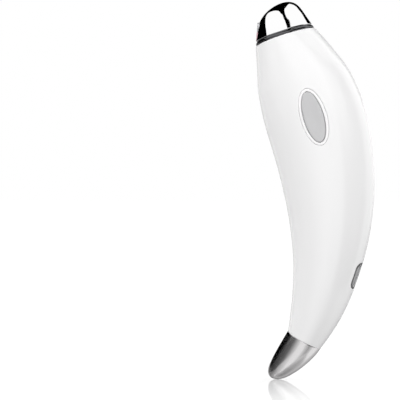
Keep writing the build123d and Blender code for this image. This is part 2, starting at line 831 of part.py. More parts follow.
# ---- all pieces ----------------------------------------------------------------------------
pieces = {
    "front_shell": front_shell(), "back_shell": back_shell(),
    "massage_head": massage_head(), "head_collar": head_collar(),
    "contact_plate": contact_plate(), "light_window": light_window(),
    "heater_film": heater_film(), "led_board": led_board(), "head_leds": head_leds(),
    "contact_holder": contact_holder(), "thermistor": thermistor(),
    "head_carrier": head_carrier(), "head_gasket": gasket_band(top, -1), "head_screws": head_screws(),
    "motor_can": motor_can(), "motor_end_cap": motor_end_cap(), "motor_armature": motor_armature(),
    "motor_shaft": motor_shaft(), "eccentric_weight": eccentric_weight(), "motor_sleeve": motor_sleeve(),
    "button_cap": button_cap(), "button_bezel": button_bezel(),
    "switch_body": switch_body(), "switch_plunger": switch_plunger(),
    "circuit_board": circuit_board(), "control_chips": control_chips(), "board_sockets": board_sockets(),
    "inner_frame": inner_frame(), "frame_screws": frame_screws(),
    "battery_cell": battery_cell(), "battery_tape": battery_tape(),
    "port_bezel": port_bezel(), "usb_shell": usb_shell(), "usb_tongue": usb_tongue(),
    "charge_board": charge_board(), "charge_chips": charge_chips(),
    "tail_cap": tail_cap(), "tail_plug": tail_plug(), "tail_gasket": gasket_band(bottom, 1),
    "tail_screw": tail_screw(),
    "motor_leads": motor_leads(), "heater_leads": heater_leads(),
    "battery_leads": battery_leads(), "charge_leads": charge_leads(),
}

box = pieces["front_shell"].bounding_box()
for name in ("back_shell", "massage_head", "contact_plate", "button_cap", "tail_cap"):
    box = box.add(pieces[name].bounding_box())
move = Pos(-box.center().X, -box.center().Y, -box.min.Z)

os.makedirs("parts", exist_ok=True)
for name, shape in pieces.items():
    solids = shape if isinstance(shape, list) else [shape]
    moved = [move * solid for solid in solids]
    export_step(Compound(children=moved) if len(moved) > 1 else moved[0], f"parts/{name}.step")


print("size", box.size)
print("moved by", move.position)
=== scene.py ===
import json
import math

import bmesh
import bpy
import numpy as np
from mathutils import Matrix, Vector


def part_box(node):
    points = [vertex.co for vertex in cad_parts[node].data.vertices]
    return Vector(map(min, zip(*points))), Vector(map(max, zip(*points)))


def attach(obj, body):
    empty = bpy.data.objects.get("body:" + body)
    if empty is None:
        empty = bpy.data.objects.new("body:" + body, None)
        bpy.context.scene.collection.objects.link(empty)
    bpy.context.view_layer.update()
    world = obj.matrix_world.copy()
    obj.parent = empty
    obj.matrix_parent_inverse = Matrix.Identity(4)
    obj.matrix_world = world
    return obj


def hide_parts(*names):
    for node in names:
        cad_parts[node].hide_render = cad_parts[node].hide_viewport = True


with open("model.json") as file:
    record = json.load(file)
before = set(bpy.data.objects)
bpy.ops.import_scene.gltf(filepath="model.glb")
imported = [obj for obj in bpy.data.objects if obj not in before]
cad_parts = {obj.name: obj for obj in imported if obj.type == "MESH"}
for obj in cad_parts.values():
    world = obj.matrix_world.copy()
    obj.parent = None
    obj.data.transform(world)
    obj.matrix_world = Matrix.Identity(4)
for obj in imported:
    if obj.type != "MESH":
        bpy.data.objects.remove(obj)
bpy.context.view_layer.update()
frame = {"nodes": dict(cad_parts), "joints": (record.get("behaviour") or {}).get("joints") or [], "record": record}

bl_info = {
    "name": "Heated eye massager wand",
    "version": (1, 0, 0),
    "blender": (4, 5, 0),
    "location": "View3D > Sidebar > Wand",
    "description": "Builds the skin, the finishes and the studio stage of a heated eye massager wand",
    "category": "Add Mesh",
}

MM = 0.001

# How finely the surfaces are divided: rows along a form, columns round it.
SPINE_STEPS = 1200
SHELL_ROWS, SHELL_COLUMNS = 170, 84
DOME_ROWS, DOME_TOP_ROWS, DOME_COLUMNS = 46, 34, 168
TAIL_ROWS, TAIL_TIP_ROWS, TAIL_COLUMNS = 60, 40, 144
COLLAR_COLUMNS, BEAD_STEPS = 160, 12
BUTTON_COLUMNS, FACE_ROWS, CROWN_STEPS = 144, 13, 8
PAD_COLUMNS, PAD_ROWS = 128, 11
PORT_COLUMNS, PORT_ROWS = 160, 4
CARD_STEPS = 8
EDGE_STEPS, CAP_EDGE_STEPS, PAD_EDGE_STEPS = 3, 5, 4
# Rings of faces from a hole in a grid to the outline of the opening in it.
PORT_RINGS, BUTTON_RINGS, PAD_RINGS = 5, 9, 6
HALVINGS = 36             # of the bracket in which a root is looked for
WELD_DECIMALS = 9         # of a metre, to which points have to agree to be welded
SHARP_ANGLE = math.radians(38)
TINY = 1e-9

# Places that the frame gives.  The motor's axis runs beside the head's own, at right angles to the
# head joint, and the charging port is a mount.
spin = next(j for j in frame["joints"] if j["name"] == "motor_spin")
port_mount = next(m for m in frame["record"]["mounts"] if m["name"] == "charge_port")
socket_box = [np.array(corner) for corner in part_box("usb_shell")]
button_low, button_high = (np.array(corner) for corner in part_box("button_cap"))
head_up = np.array(spin["axis"])
head_across = np.array((head_up[2], 0.0, -head_up[0]))
port_out = np.array(port_mount["axis"])
port_run = np.array((-port_out[2], 0.0, port_out[0]))
port_place = sum(socket_box) / 2
port_place = port_place + port_out * ((np.array(port_mount["pos_m"]) - port_place) @ port_out)
middle_y = spin["pos_m"][1]


# ---- sizes and colours that a user would change ----------------------------------------------
def distance(name, description, default):
    return bpy.props.FloatProperty(name=name, description=description, default=default,
                                   unit="LENGTH", subtype="DISTANCE", precision=5)


def angle(name, description, degrees):
    return bpy.props.FloatProperty(name=name, description=description, default=math.radians(degrees),
                                   unit="ROTATION", subtype="ANGLE")


def number(name, description, default):
    return bpy.props.FloatProperty(name=name, description=description, default=default)


def distances(name, description, default):
    return bpy.props.FloatVectorProperty(name=name, description=description, size=len(default),
                                         default=[value * MM for value in default],
                                         unit="LENGTH", precision=5)


def tint(name, description, default):
    return bpy.props.FloatVectorProperty(name=name, description=description, default=default,
                                         subtype="COLOR", min=0.0, max=1.0)


class WandHandle(bpy.types.PropertyGroup):
    """Sizes of the crescent handle"""
    length: distance("Length", "Along the spine, from the head joint to the tail joint", 114.3 * MM)
    lean: angle("Lean", "How far the spine leans back at the head joint", 24.5)
    turn: angle("Turn", "How far the spine turns on its way to the tail joint", 50.0)
    turn_power: number("Turn power", "Keeps the upper half straighter than the lower", 1.4)
    head_tilt: angle("Head tilt", "Tilt of the head joint's plane", 18.0)
    tail_tilt: angle("Tail tilt", "Tilt of the tail joint's plane", -29.0)
    tilt_power: number("Tilt power", "How the section planes turn in between", 1.5)
    half_widths: distances("Half widths", "Half widths of the sections",
                           (11.4, 14.3, 17.5, 18.8, 17.7, 15.3, 12.0, 9.5, 6.8))
    half_depths: distances("Half depths", "Half depths of the sections",
                           (10.6, 11.6, 12.6, 13.2, 13.0, 12.0, 10.2, 8.4, 6.5))
    shares: bpy.props.FloatVectorProperty(name="Shares", description="Places of the sections along the spine",
                                          size=9, default=(0, .07, .16, .28, .44, .61, .78, .90, 1))
    wall: distance("Wall", "Thickness of the shells", 2.0 * MM)
    seam: distance("Seam", "Gap between the two shells", 0.06 * MM)
    edge: distance("Edge", "Rounding of the shells' edges", 0.15 * MM)


class WandHead(bpy.types.PropertyGroup):
    """Sizes of the massage head, its collar and its contact pad"""
    height: distance("Height", "From the head joint to the top", 12.5 * MM)
    taper: number("Taper", "Share by which the width narrows", 0.4)
    depth_taper: number("Depth taper", "Share by which the depth narrows", 0.41)
    lean: distance("Lean", "Shift of the dome towards the back edge", 0.3 * MM)
    hook: distance("Hook", "Further shift close to the top", 2.3 * MM)
    hook_power: number("Hook power", "How the top shifts", 3.6)
    round_power: number("Round power", "Power that rounds the top", 6.0)
    wall: distance("Wall", "Thickness of the dome and collar", 1.1 * MM)
    motor_across: distance("Motor across", "From the head's axis to the motor's", 1.0 * MM)
    collar_height: distance("Collar height", "Height of the collar", 1.7 * MM)
    bead_height: distance("Bead height", "Height of the ridge round the collar", 0.9 * MM)
    groove: distance("Groove", "Depth of the grooves beside the ridge", 0.3 * MM)
    pad_height: distance("Pad height", "Contact and window together, along the face", 6.9 * MM)
    pad_width: distance("Pad width", "Width of contact and window", 8.4 * MM)
    pad_corner: distance("Pad corner", "Corner radius of the pad", 2.6 * MM)
    pad_crown: distance("Pad crown", "Radius of the crowned face", 9.5 * MM)
    pad_lean: angle("Pad lean", "Lean of the pad's face from the head's axis", 22.9)
    pad_across: distance("Pad across", "From the head's axis to the pad's middle", 9.35 * MM)
    pad_up: distance("Pad up", "From the head joint to the pad's middle", 5.35 * MM)
    pad_split: distance("Pad split", "Gap between contact and window", 0.1 * MM)
    pad_gap: distance("Pad gap", "Gap round the pad", 0.06 * MM)
    contact_thickness: distance("Contact thickness", "Thickness of the heated contact", 1.8 * MM)
    window_thickness: distance("Window thickness", "Thickness of the light window", 0.9 * MM)


class WandButton(bpy.types.PropertyGroup):
    """Sizes of the oval button and its bezel"""
    half_length: distance("Half length", "Half the cap's length", 9.5 * MM)
    half_width: distance("Half width", "Half the cap's width", 3.65 * MM)
    lean: angle("Lean", "Lean of the oval", 17.3)
    proud: distance("Proud", "Height of the cap over the shell", 0.3 * MM)
    dish: distance("Dish", "Depth of the hollow in the cap", 0.3 * MM)
    gap: distance("Gap", "Gap round the cap", 0.15 * MM)
    bezel_width: distance("Bezel width", "Width of the ring", 1.0 * MM)
    bezel_depth: distance("Bezel depth", "Depth of the ring's seat", 1.2 * MM)
    bezel_proud: distance("Bezel proud", "Height of the ring over the shell", 0.12 * MM)
    bezel_gap: distance("Bezel gap", "Gap round the ring", 0.1 * MM)
    flange_width: distance("Flange width", "Ledge that keeps the cap in", 0.9 * MM)
    flange_thickness: distance("Flange thickness", "Thickness of the ledge", 1.0 * MM)


class WandPort(bpy.types.PropertyGroup):
    """Sizes of the charging port"""
    length: distance("Length", "Length of the grey face", 9.8 * MM)
    width: distance("Width", "Width of the grey face", 6.8 * MM)
    corner: distance("Corner", "Radius of the face's corners", 2.4 * MM)
    sink: distance("Sink", "From the shells' surface down to the face", 0.12 * MM)
    gap: distance("Gap", "Gap round the face", 0.08 * MM)
    flange: distance("Flange", "Ledge behind the shells", 0.8 * MM)
    flange_depth: distance("Flange depth", "From the face to the ledge", 3.6 * MM)
    flange_thickness: distance("Flange thickness", "Thickness of the ledge", 0.9 * MM)
    socket_sink: distance("Socket sink", "From the face down to the socket's rim", 0.3 * MM)
    mouth_length: distance("Mouth length", "Length of the opening in the face", 9.1 * MM)
    mouth_width: distance("Mouth width", "Width of the opening in the face", 3.42 * MM)


class WandTail(bpy.types.PropertyGroup):
    """Sizes of the metal tail"""
    height: distance("Height", "From the tail joint to the tip", 18.4 * MM)
    taper: number("Taper", "Share by which the tail narrows", 0.54)
    taper_power: number("Taper power", "How the tail narrows", 1.76)
    round_power: number("Round power", "Power that rounds the tip", 11.0)
    hook: distance("Hook", "Shift of the tip towards the hollow edge", 3.85 * MM)
    hook_power: number("Hook power", "How the tip shifts", 1.45)
    wall: distance("Wall", "Thickness of the tail's cup", 1.2 * MM)


class WandColours(bpy.types.PropertyGroup):
    """Colours of the visible finishes"""
    shell: tint("Shell", "Gloss white plastic of the handle", (0.872, 0.869, 0.871))
    bezel: tint("Bezel", "White ring round the button", (0.93, 0.92, 0.925))
    button: tint("Button", "Silver grey of the button", (0.583, 0.581, 0.588))
    chrome: tint("Chrome", "Mirror plating of the head", (0.99, 0.99, 0.99))
    collar: tint("Collar", "Dark plating of the collar", (0.135, 0.135, 0.14))
    contact: tint("Contact", "Heated metal contact", (0.66, 0.66, 0.68))
    window: tint("Window", "Milky red light window", (0.78, 0.50, 0.56))
    tail: tint("Tail", "Satin metal of the tail", (0.745, 0.733, 0.737))
    port: tint("Port", "Grey face of the charging port", (0.38, 0.375, 0.38))
    # Painted shade: the dark colour painted along the rim of the port's face, in place of the shade that its
    # recess casts there.
    port_rim: tint("Port rim", "Darker rim of that face", (0.08, 0.08, 0.082))


class WandStage(bpy.types.PropertyGroup):
    """The studio stage"""
    azimuth: angle("Azimuth", "Camera's place round the wand", 15.0)
    distance: distance("Distance", "From the camera to the wand", 1.2)
    view_width: distance("View width", "How much the camera sees across at the wand", 146.0 * MM)
    middle_back: distance("Middle back", "From the head joint back to the wand's middle", 11.33 * MM)
    middle_down: distance("Middle down", "From the head joint down to the wand's middle", 57.5 * MM)
    aim_left: distance("Aim left", "How far the camera aims to the left of the wand", 42.1 * MM)
    aim_down: distance("Aim down", "How far it aims below the wand's middle", 1.8 * MM)
    ambient: number("Ambient", "Strength of the white tent as a light", 0.5)
    lamps: number("Lamps", "Strength of the lamps", 1.1)
    floor_half: distance("Floor half", "Half the floor's length", 30.0)
    mirror_reach: distance("Mirror reach", "How far the floor mirrors round the tip", 300.0 * MM)
    shadow_reach: distance("Shadow reach", "How far the floor shows shadows round the tip", 0.6)
    lamp_distance: distance("Lamp distance", "From the wand to each lamp", 1.6)
    card_distance: distance("Card distance", "From the wand to each card", 2.0)


GROUPS = {"wand_handle": WandHandle, "wand_head": WandHead, "wand_button": WandButton,
          "wand_port": WandPort, "wand_tail": WandTail, "wand_colours": WandColours,
          "wand_stage": WandStage}


# ---- forms ---------------------------------------------------------------------------------
def smooth(knots, values, at):
    """A cubic between each two knots, with the slope of the chord between a knot's neighbours."""
    last = len(knots) - 1
    low = np.maximum(np.arange(last + 1) - 1, 0)
    high = np.minimum(np.arange(last + 1) + 1, last)
    slopes = (values[high] - values[low]) / (knots[high] - knots[low])
    i = np.clip(np.searchsorted(knots, at, side="right") - 1, 0, last - 1)
    span = knots[i + 1] - knots[i]
    rise = values[i + 1] - values[i]
    t = (at - knots[i]) / span
    pull = (1 - t) * (slopes[i] * span - rise) - t * (slopes[i + 1] * span - rise)
    return values[i] + t * rise + t * (1 - t) * pull


class Form:
    """A body of oval sections.  The section at a place u has a middle, a direction across, a half
    width and a half depth, and its point at a turn a is
    middle + across * half width * cos(a) + side * Y * half depth * sin(a)."""

    def at_turn(self, u, turn, grow, side):
        middle, across, width, depth = self.section(u, grow)
        return self.put(middle, across, width * np.cos(turn), side * depth * np.sin(turn))

    def at_level(self, u, level, grow, way, side):
        """Point at a height over the plane of symmetry, on the section's far (+1) or near (-1) edge."""
        middle, across, width, depth = self.section(u, grow)
        reach = way * width * np.sqrt(np.clip(1 - (level / depth) ** 2, 0, 1))
        return self.put(middle, across, reach, side * level)

    def put(self, middle, across, reach, y):
        points = middle + across * reach[..., None]
        points[..., 1] = middle_y + y
        return points

    def around(self, share, inset, columns):
        """Grid of whole sections at some shares, each set in by its own inset."""
        plain = np.zeros((len(share), columns))
        return self.at_turn(share[:, None] + plain, full_turn(columns) + plain, plain - inset[:, None], -1)

    def under(self, x, z, grow, side):
        """Point of the surface straight above a point of the plane of symmetry."""
        def error(u):
            middle, across, _, _ = self.section(u, grow)
            return across[..., 0] * (z - middle[..., 2]) - across[..., 2] * (x - middle[..., 0])
        u = root(error, np.zeros_like(x), np.ones_like(x))
        middle, across, width, depth = self.section(u, grow)
        reach = across[..., 0] * (x - middle[..., 0]) + across[..., 2] * (z - middle[..., 2])
        y = side * depth * np.sqrt(np.clip(1 - (reach / width) ** 2, 0, 1))
        return np.stack([x, middle_y + y, z], -1)

    def beside(self, origin, run, along, level, grow, way, side, low, high):
        """Point of the surface at a distance along a direction and a height over the plane."""
        def error(u):
            points = self.at_level(u, level, grow, way, side)
            return self.sense * ((points - origin) @ run - along)
        u = root(error, np.full_like(along, low), np.full_like(along, high))
        return self.at_level(u, level, grow, way, side)


def full_turn(columns):
    """Even turns once round, from 0 on."""
    return np.linspace(0, 2 * math.pi, columns, endpoint=False)


def root(error, low, high):
    """Where an error that rises with u passes zero, by halving whole arrays of brackets."""
    for _ in range(HALVINGS):
        middle = (low + high) / 2
        below = error(middle) < 0
        low = np.where(below, middle, low)
        high = np.where(below, high, middle)
    return (low + high) / 2


class Handle(Form):
    """Sections along a spine whose lean falls by turn * share ** power; u is the share of it."""
    sense = -1

    def __init__(self, scene):
        self.sizes = sizes = scene.wand_handle
        self.start = np.array(spin["pos_m"]) - scene.wand_head.motor_across * head_across
        self.steps = np.linspace(0, 1, SPINE_STEPS + 1)
        half_way = (self.steps[1:] + self.steps[:-1]) / 2
        lean = sizes.lean - sizes.turn * half_way ** sizes.turn_power
        step = sizes.length / len(half_way)
        self.x = np.concatenate(([0], np.cumsum(np.sin(lean)) * step))
        self.z = np.concatenate(([0], np.cumsum(-np.cos(lean)) * step))

    def section(self, u, grow):
        s = self.sizes
        u = np.asarray(u, float)
        knots = np.array(s.shares)
        middle = np.zeros(u.shape + (3,))
        middle[..., 0] = self.start[0] + np.interp(u, self.steps, self.x)
        middle[..., 2] = self.start[2] + np.interp(u, self.steps, self.z)
        tilt = s.head_tilt - (s.head_tilt - s.tail_tilt) * u ** s.tilt_power
        across = np.stack([np.cos(tilt), np.zeros_like(tilt), np.sin(tilt)], -1)
        width = smooth(knots, np.array(s.half_widths), u) + grow
        depth = smooth(knots, np.array(s.half_depths), u) + grow
        return middle, across, width, depth


class Dome(Form):
    """The massage head: u is the share of its height, the width and depth narrow evenly, a root
    rounds the top and a power of u shifts it."""
    sense = 1

    def __init__(self, sizes, handle, inset=0.0):
        self.sizes = sizes
        self.start = handle.start
        self.width = handle.sizes.half_widths[0] - inset
        self.depth = handle.sizes.half_depths[0] - inset
        self.height = sizes.height - inset

    def section(self, u, grow):
        s = self.sizes
        u = np.asarray(u, float)
        rounding = np.sqrt(np.clip(1 - u ** s.round_power, 0, 1))
        shift = s.lean * u + s.hook * u ** s.hook_power
        middle = self.start + (u * self.height)[..., None] * head_up + shift[..., None] * head_across
        across = np.broadcast_to(head_across, middle.shape)
        width = self.width * (1 - s.taper * u) * rounding + grow
        depth = self.depth * (1 - s.depth_taper * u) * rounding + grow
        return middle, across, width, depth


class Tip(Form):
    """The tail: u is the share of its height, from the joint down.  A power of u narrows the
    width and the depth, a root rounds the tip and another power shifts it."""
    sense = -1

    def __init__(self, sizes, handle, inset=0.0):
        self.sizes = sizes
        middle, across, width, depth = handle.section(np.array(1.0), -inset)
        self.start, self.across, self.width, self.depth = middle, across, float(width), float(depth)
        self.down = np.array((across[2], 0.0, -across[0]))
        self.height = sizes.height - inset

    def section(self, u, grow):
        s = self.sizes
        u = np.asarray(u, float)
        law = (1 - s.taper * u ** s.taper_power) * np.sqrt(np.clip(1 - u ** s.round_power, 0, 1))
        shift = -s.hook * u ** s.hook_power
        middle = self.start + (u * self.height)[..., None] * self.down + shift[..., None] * self.across
        across = np.broadcast_to(self.across, middle.shape)
        return middle, across, self.width * law + grow, self.depth * law + grow


def to_tip(start, power, evenly, rounded):
    """Shares from a start to the tip: even steps, then even steps of the rounding's root."""
    switch = 0.62
    flat = np.linspace(start, switch, evenly, endpoint=False)
    falling = np.linspace(math.sqrt(1 - switch ** power), 0, rounded)
    return np.concatenate([flat, (1 - falling ** 2) ** (1 / power)])


def quarter(edge, steps=EDGE_STEPS):
    """How far an edge's rounding sets its points back from each of the two faces that meet in it:
    edge * (1 - sin) falls to nothing while edge * (1 - cos) rises to the whole edge."""
    arc = np.linspace(0, math.pi / 2, steps + 1)
    return edge * (1 - np.sin(arc)), edge * (1 - np.cos(arc))


# ---- meshes --------------------------------------------------------------------------------
class Skin:
    """Patches of points that are welded where they touch and have to close."""

    def __init__(self):
        self.points = []
        self.quads = []
        self.others = []
        self.count = 0

    def add(self, points):
        """Keeps the points and gives back their numbers, in the same arrangement."""
        self.points.append(np.asarray(points, float).reshape(-1, 3))
        numbers = self.count + np.arange(len(self.points[-1]))
        self.count += len(numbers)
        return numbers.reshape(np.shape(points)[:-1])

    def grid(self, points, wrap=False, hole=None):
        """Quads between the rows and columns of a grid, without those of a rectangular hole."""
        numbers = self.add(points)
        if wrap:
            numbers = np.concatenate([numbers, numbers[:, :1]], 1)
        quads = np.stack([numbers[:-1, :-1], numbers[1:, :-1], numbers[1:, 1:], numbers[:-1, 1:]], -1)
        keep = np.ones(quads.shape[:2], bool)
        if hole:
            first, last, left, right = hole
            keep[first:last, left:right] = False
        self.quads.append(quads[keep])

    def polygon(self, points):
        self.others.append(self.add(points))

    def build(self, name):
        """Welds the points, drops the corners that fall together, and closes the mesh."""
        points = np.concatenate(self.points)
        _, first, number = np.unique(np.round(points, WELD_DECIMALS), axis=0, return_index=True,
                                     return_inverse=True)
        number = number.ravel()
        quads = number[np.concatenate(self.quads)]
        same = quads == np.roll(quads, -1, axis=1)
        whole = quads[~same.any(1)]
        thin = quads[same.sum(1) == 1]
        kept = ~same[same.sum(1) == 1]
        triangles = thin[kept].reshape(-1, 3)
        others = [number[corners].tolist() for corners in self.others]
        mesh = bpy.data.meshes.new(name)
        mesh.from_pydata(points[first].tolist(), [], whole.tolist() + triangles.tolist() + others)
        work = bmesh.new()
        work.from_mesh(mesh)
        loose = [vertex for vertex in work.verts if not vertex.link_faces]
        bmesh.ops.delete(work, geom=loose, context="VERTS")
        bmesh.ops.recalc_face_normals(work, faces=work.faces)
        if not all(edge.is_manifold for edge in work.edges):
            raise RuntimeError(f"{name} isn't closed")
        if work.calc_volume(signed=True) < 0:
            bmesh.ops.reverse_faces(work, faces=work.faces)
        work.to_mesh(mesh)
        work.free()
        mesh.shade_smooth()
        mesh.set_sharp_from_angle(angle=SHARP_ANGLE)
        return new_object(name, mesh)


def new_object(name, data):
    """A new object of the scene, at the origin, unturned and unscaled."""
    made = bpy.data.objects.new(name, data)
    bpy.context.scene.collection.objects.link(made)
    return made


def cup(outer, inner, hole=None):
    """The skin of an outer and an inner grid, each closed in a point, joined round their rims."""
    skin = Skin()
    for grid in (outer, inner):
        grid[-1] = grid[-1, 0]
        skin.grid(grid, wrap=True, hole=hole)
    skin.grid(np.array([outer[0], inner[0]]), wrap=True)
    return skin


def dress(made, material, body, slot, *nodes):
    """Gives a piece its finish and its body, and hides the CAD nodes that it stands for."""
    made.data.materials.append(material)
    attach(made, body)
    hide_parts(*nodes)
    return made


def reach(turn, half_a, half_b, corner):
    """Distance from the middle of a rounded rectangle to its outline, in a direction."""
    c = np.maximum(np.abs(np.cos(turn)), TINY)
    s = np.maximum(np.abs(np.sin(turn)), TINY)
    p, q = half_a - corner, half_b - corner
    m = p * c + q * s
    bend = m + np.sqrt(np.clip(m * m - (p * p + q * q - corner * corner), 0, None))
    return np.where(half_a / c * s <= q, half_a / c, np.where(half_b / s * c <= p, half_b / s, bend))


def oval_reach(turn, half_a, half_b):
    """Distance from the middle of an oval to its outline, in a direction."""
    return 1 / np.hypot(np.cos(turn) / half_a, np.sin(turn) / half_b)


def border(grid, hole, opened):
    """The points round a hole in a grid: a closed loop, or three sides where the hole is opened to
    the first column."""
    first, last, left, right = hole
    sides = [grid[first, left:right], grid[first:last, right],
             grid[last, right:left:-1] if left else grid[last, right::-1]]
    if not opened:
        sides.append(grid[last:first:-1, left])
    return np.concatenate(sides)


def opening(outer, inner, hole, flat, outline, lift_outer, lift_inner, wall, rings, opened=False):
    """Rows of points from a hole's border in the outer grid to its outline, along the rows of its
    wall, and from the outline in the inner grid to that grid's border.  flat gives a point's two
    coordinates about the opening's middle, outline the edge's distance there at a margin, and the
    lifts put such coordinates on the two surfaces."""
    outside, inside = border(outer, hole, opened), border(inner, hole, opened)
    a, b = flat(outside)
    turn = np.arctan2(b, a)

    def edge(margin):
        far = outline(turn, margin)
        return far * np.cos(turn), far * np.sin(turn)

    rows = [outside]
    margin, grow = wall[0]
    for t in np.linspace(0, 1, rings + 1)[1:]:
        edge_a, edge_b = edge(margin)
        rows.append(lift_outer(a + (edge_a - a) * t, b + (edge_b - b) * t, grow))
    rows += [lift_outer(*edge(margin), grow) for margin, grow in wall[1:]]
    a, b = flat(inside)
    for t in np.linspace(0, 1, rings + 1)[:-1]:
        edge_a, edge_b = edge(wall[-1][0])
        rows.append(lift_inner(edge_a + (a - edge_a) * t, edge_b + (b - edge_b) * t))
    rows.append(inside)
    return np.array(rows)


# ---- shader maths --------------------------------------------------------------------------
def maths(operation, swapped=False):
    """An operator of Socket, which adds the Math node of that operation."""
    def operator(self, other):
        first, second = (other, self) if swapped else (self, other)
        return self.paint.node("ShaderNodeMath", {"operation": operation}, {0: first, 1: second})
    return operator


class Socket:
    """A node's output, so that shader maths reads as an expression."""
    __add__, __radd__ = maths("ADD"), maths("ADD", swapped=True)
    __sub__, __rsub__ = maths("SUBTRACT"), maths("SUBTRACT", swapped=True)
    __mul__, __rmul__ = maths("MULTIPLY"), maths("MULTIPLY", swapped=True)
    __truediv__ = maths("DIVIDE")
    __pow__ = maths("POWER")

    def __init__(self, paint, output):
        self.paint = paint
        self.output = output

    def of(self, name):
        """Another output of the same node."""
        return Socket(self.paint, self.output.node.outputs[name])

    def clamp(self):
        return self.paint.node("ShaderNodeClamp", {}, {"Value": self})


class Paint:
    """The nodes of a material or of the world."""

    def __init__(self, owner):
        self.world = isinstance(owner, bpy.types.World)
        owner.use_nodes = True
        self.tree = owner.node_tree
        self.tree.nodes.clear()

    def node(self, kind, settings=(), inputs=(), output=0):
        """A node with its settings and then its sockets' values or links; gives one output."""
        made = self.tree.nodes.new(kind)
        for name, value in dict(settings).items():
            setattr(made, name, value)
        for name, value in dict(inputs).items():
            if isinstance(value, Socket):
                self.tree.links.new(value.output, made.inputs[name])
            else:
                made.inputs[name].default_value = value
        return Socket(self, made.outputs[output]) if made.outputs else made

    def where(self, turn=(0, 0, 0), stretch=(1, 1, 1), middle=(0, 0, 0)):
        """Object coordinates, moved, turned and stretched."""
        place = self.node("ShaderNodeTexCoord").of("Object")
        moved = self.node("ShaderNodeMapping", {"vector_type": "TEXTURE"},
                          {"Vector": place, "Location": middle, "Rotation": turn})
        return self.node("ShaderNodeVectorMath", {"operation": "MULTIPLY"}, {0: moved, 1: stretch})

    def noise(self, scale, detail=2.0, roughness=0.5, where=None):
        """Noise between 0 and 1 with features of a given size in metres."""
        return self.node("ShaderNodeTexNoise", {}, {"Vector": where or self.where(), "Scale": 1 / scale,
                                                    "Detail": detail, "Roughness": roughness})

    def blend(self, mask, low, high):
        """Colour between two colours, by a Mix node's colour sockets 6 and 7 and output 2."""
        return self.node("ShaderNodeMix", {"data_type": "RGBA"}, {0: mask, 6: low, 7: high}, 2)

    def bump(self, height, depth):
        """Normal of a surface raised by height times a depth in metres."""
        return self.node("ShaderNodeBump", {}, {"Height": height, "Distance": depth, "Strength": 1.0})

    def show(self, shader):
        """Links a shader to the material's or the world's output."""
        kind = "ShaderNodeOutputWorld" if self.world else "ShaderNodeOutputMaterial"
        self.node(kind, {}, {"Surface": shader})


def shade(colour, factor):
    """A colour made lighter or darker, with full alpha."""
    return tuple(min(1.0, part * factor) for part in tuple(colour)[:3]) + (1.0,)


def finish(name, colour, metallic, rough, spread, cloud, grain, lift, coat=0.0, where=None, **constants):
    """A finish: the colour drifts by its spread over patches as large as cloud, the roughness goes
    from its first to its second value, and noise as fine as grain raises the surface by lift."""
    material = bpy.data.materials.new(name)
    paint = Paint(material)
    drift = paint.noise(cloud)
    fine = paint.noise(grain, detail=3.0, roughness=0.6, where=where(paint) if where else None)
    tone = paint.blend(drift, shade(colour, 1 - spread), shade(colour, 1 + spread))
    low, high = rough
    inputs = {"Base Color": tone, "Metallic": metallic, "Roughness": low + (high - low) * fine,
              "Normal": paint.bump(fine, lift), "Coat Weight": coat, **constants}
    shader = paint.node("ShaderNodeBsdfPrincipled", {}, inputs)
    paint.show(shader)
    return material


def along_tail(paint):
    """Object coordinates turned to the tail's axis and drawn out along it, as brushing does."""
    tilt = bpy.context.scene.wand_handle.tail_tilt
    return paint.where(turn=(0, -tilt, 0), stretch=(1, 1, 0.04))


def shell_finish(name, colour):
    """Gloss white plastic: a faint cloudiness, a polish that varies and a slight waviness."""
    return finish(name, colour, metallic=0.0, rough=(0.16, 0.24), spread=0.006, cloud=22 * MM,
                  grain=3.5 * MM, lift=0.0012 * MM, coat=0.5, **{"Coat Roughness": 0.06, "IOR": 1.5})


def chrome_finish(name, colour):
    """Mirror plating with a hint of polishing haze."""
    return finish(name, colour, metallic=1.0, rough=(0.015, 0.05), spread=0.01, cloud=6 * MM,
                  grain=1.5 * MM, lift=0.0002 * MM)


def tail_finish(name, colour):
    """Satin metal, brushed along the tail."""
    return finish(name, colour, metallic=1.0, rough=(0.14, 0.24), spread=0.05, cloud=5 * MM,
                  grain=0.45 * MM, lift=0.004 * MM, where=along_tail)


def button_finish(name, colour):
    """Satin silver paint with fine flakes."""
    return finish(name, colour, metallic=0.25, rough=(0.30, 0.42), spread=0.02, cloud=4 * MM,
                  grain=0.12 * MM, lift=0.0006 * MM)


def contact_finish(name, colour):
    """Pale metal, finely blasted."""
    return finish(name, colour, metallic=0.4, rough=(0.28, 0.40), spread=0.03, cloud=3 * MM,
                  grain=0.4 * MM, lift=0.0006 * MM)


def window_finish(name, colour):
    """Milky red plastic with a soft cloudiness and a thin polished coat."""
    return finish(name, colour, metallic=0.0, rough=(0.22, 0.34), spread=0.08, cloud=2.5 * MM,
                  grain=0.4 * MM, lift=0.0004 * MM, coat=0.2)


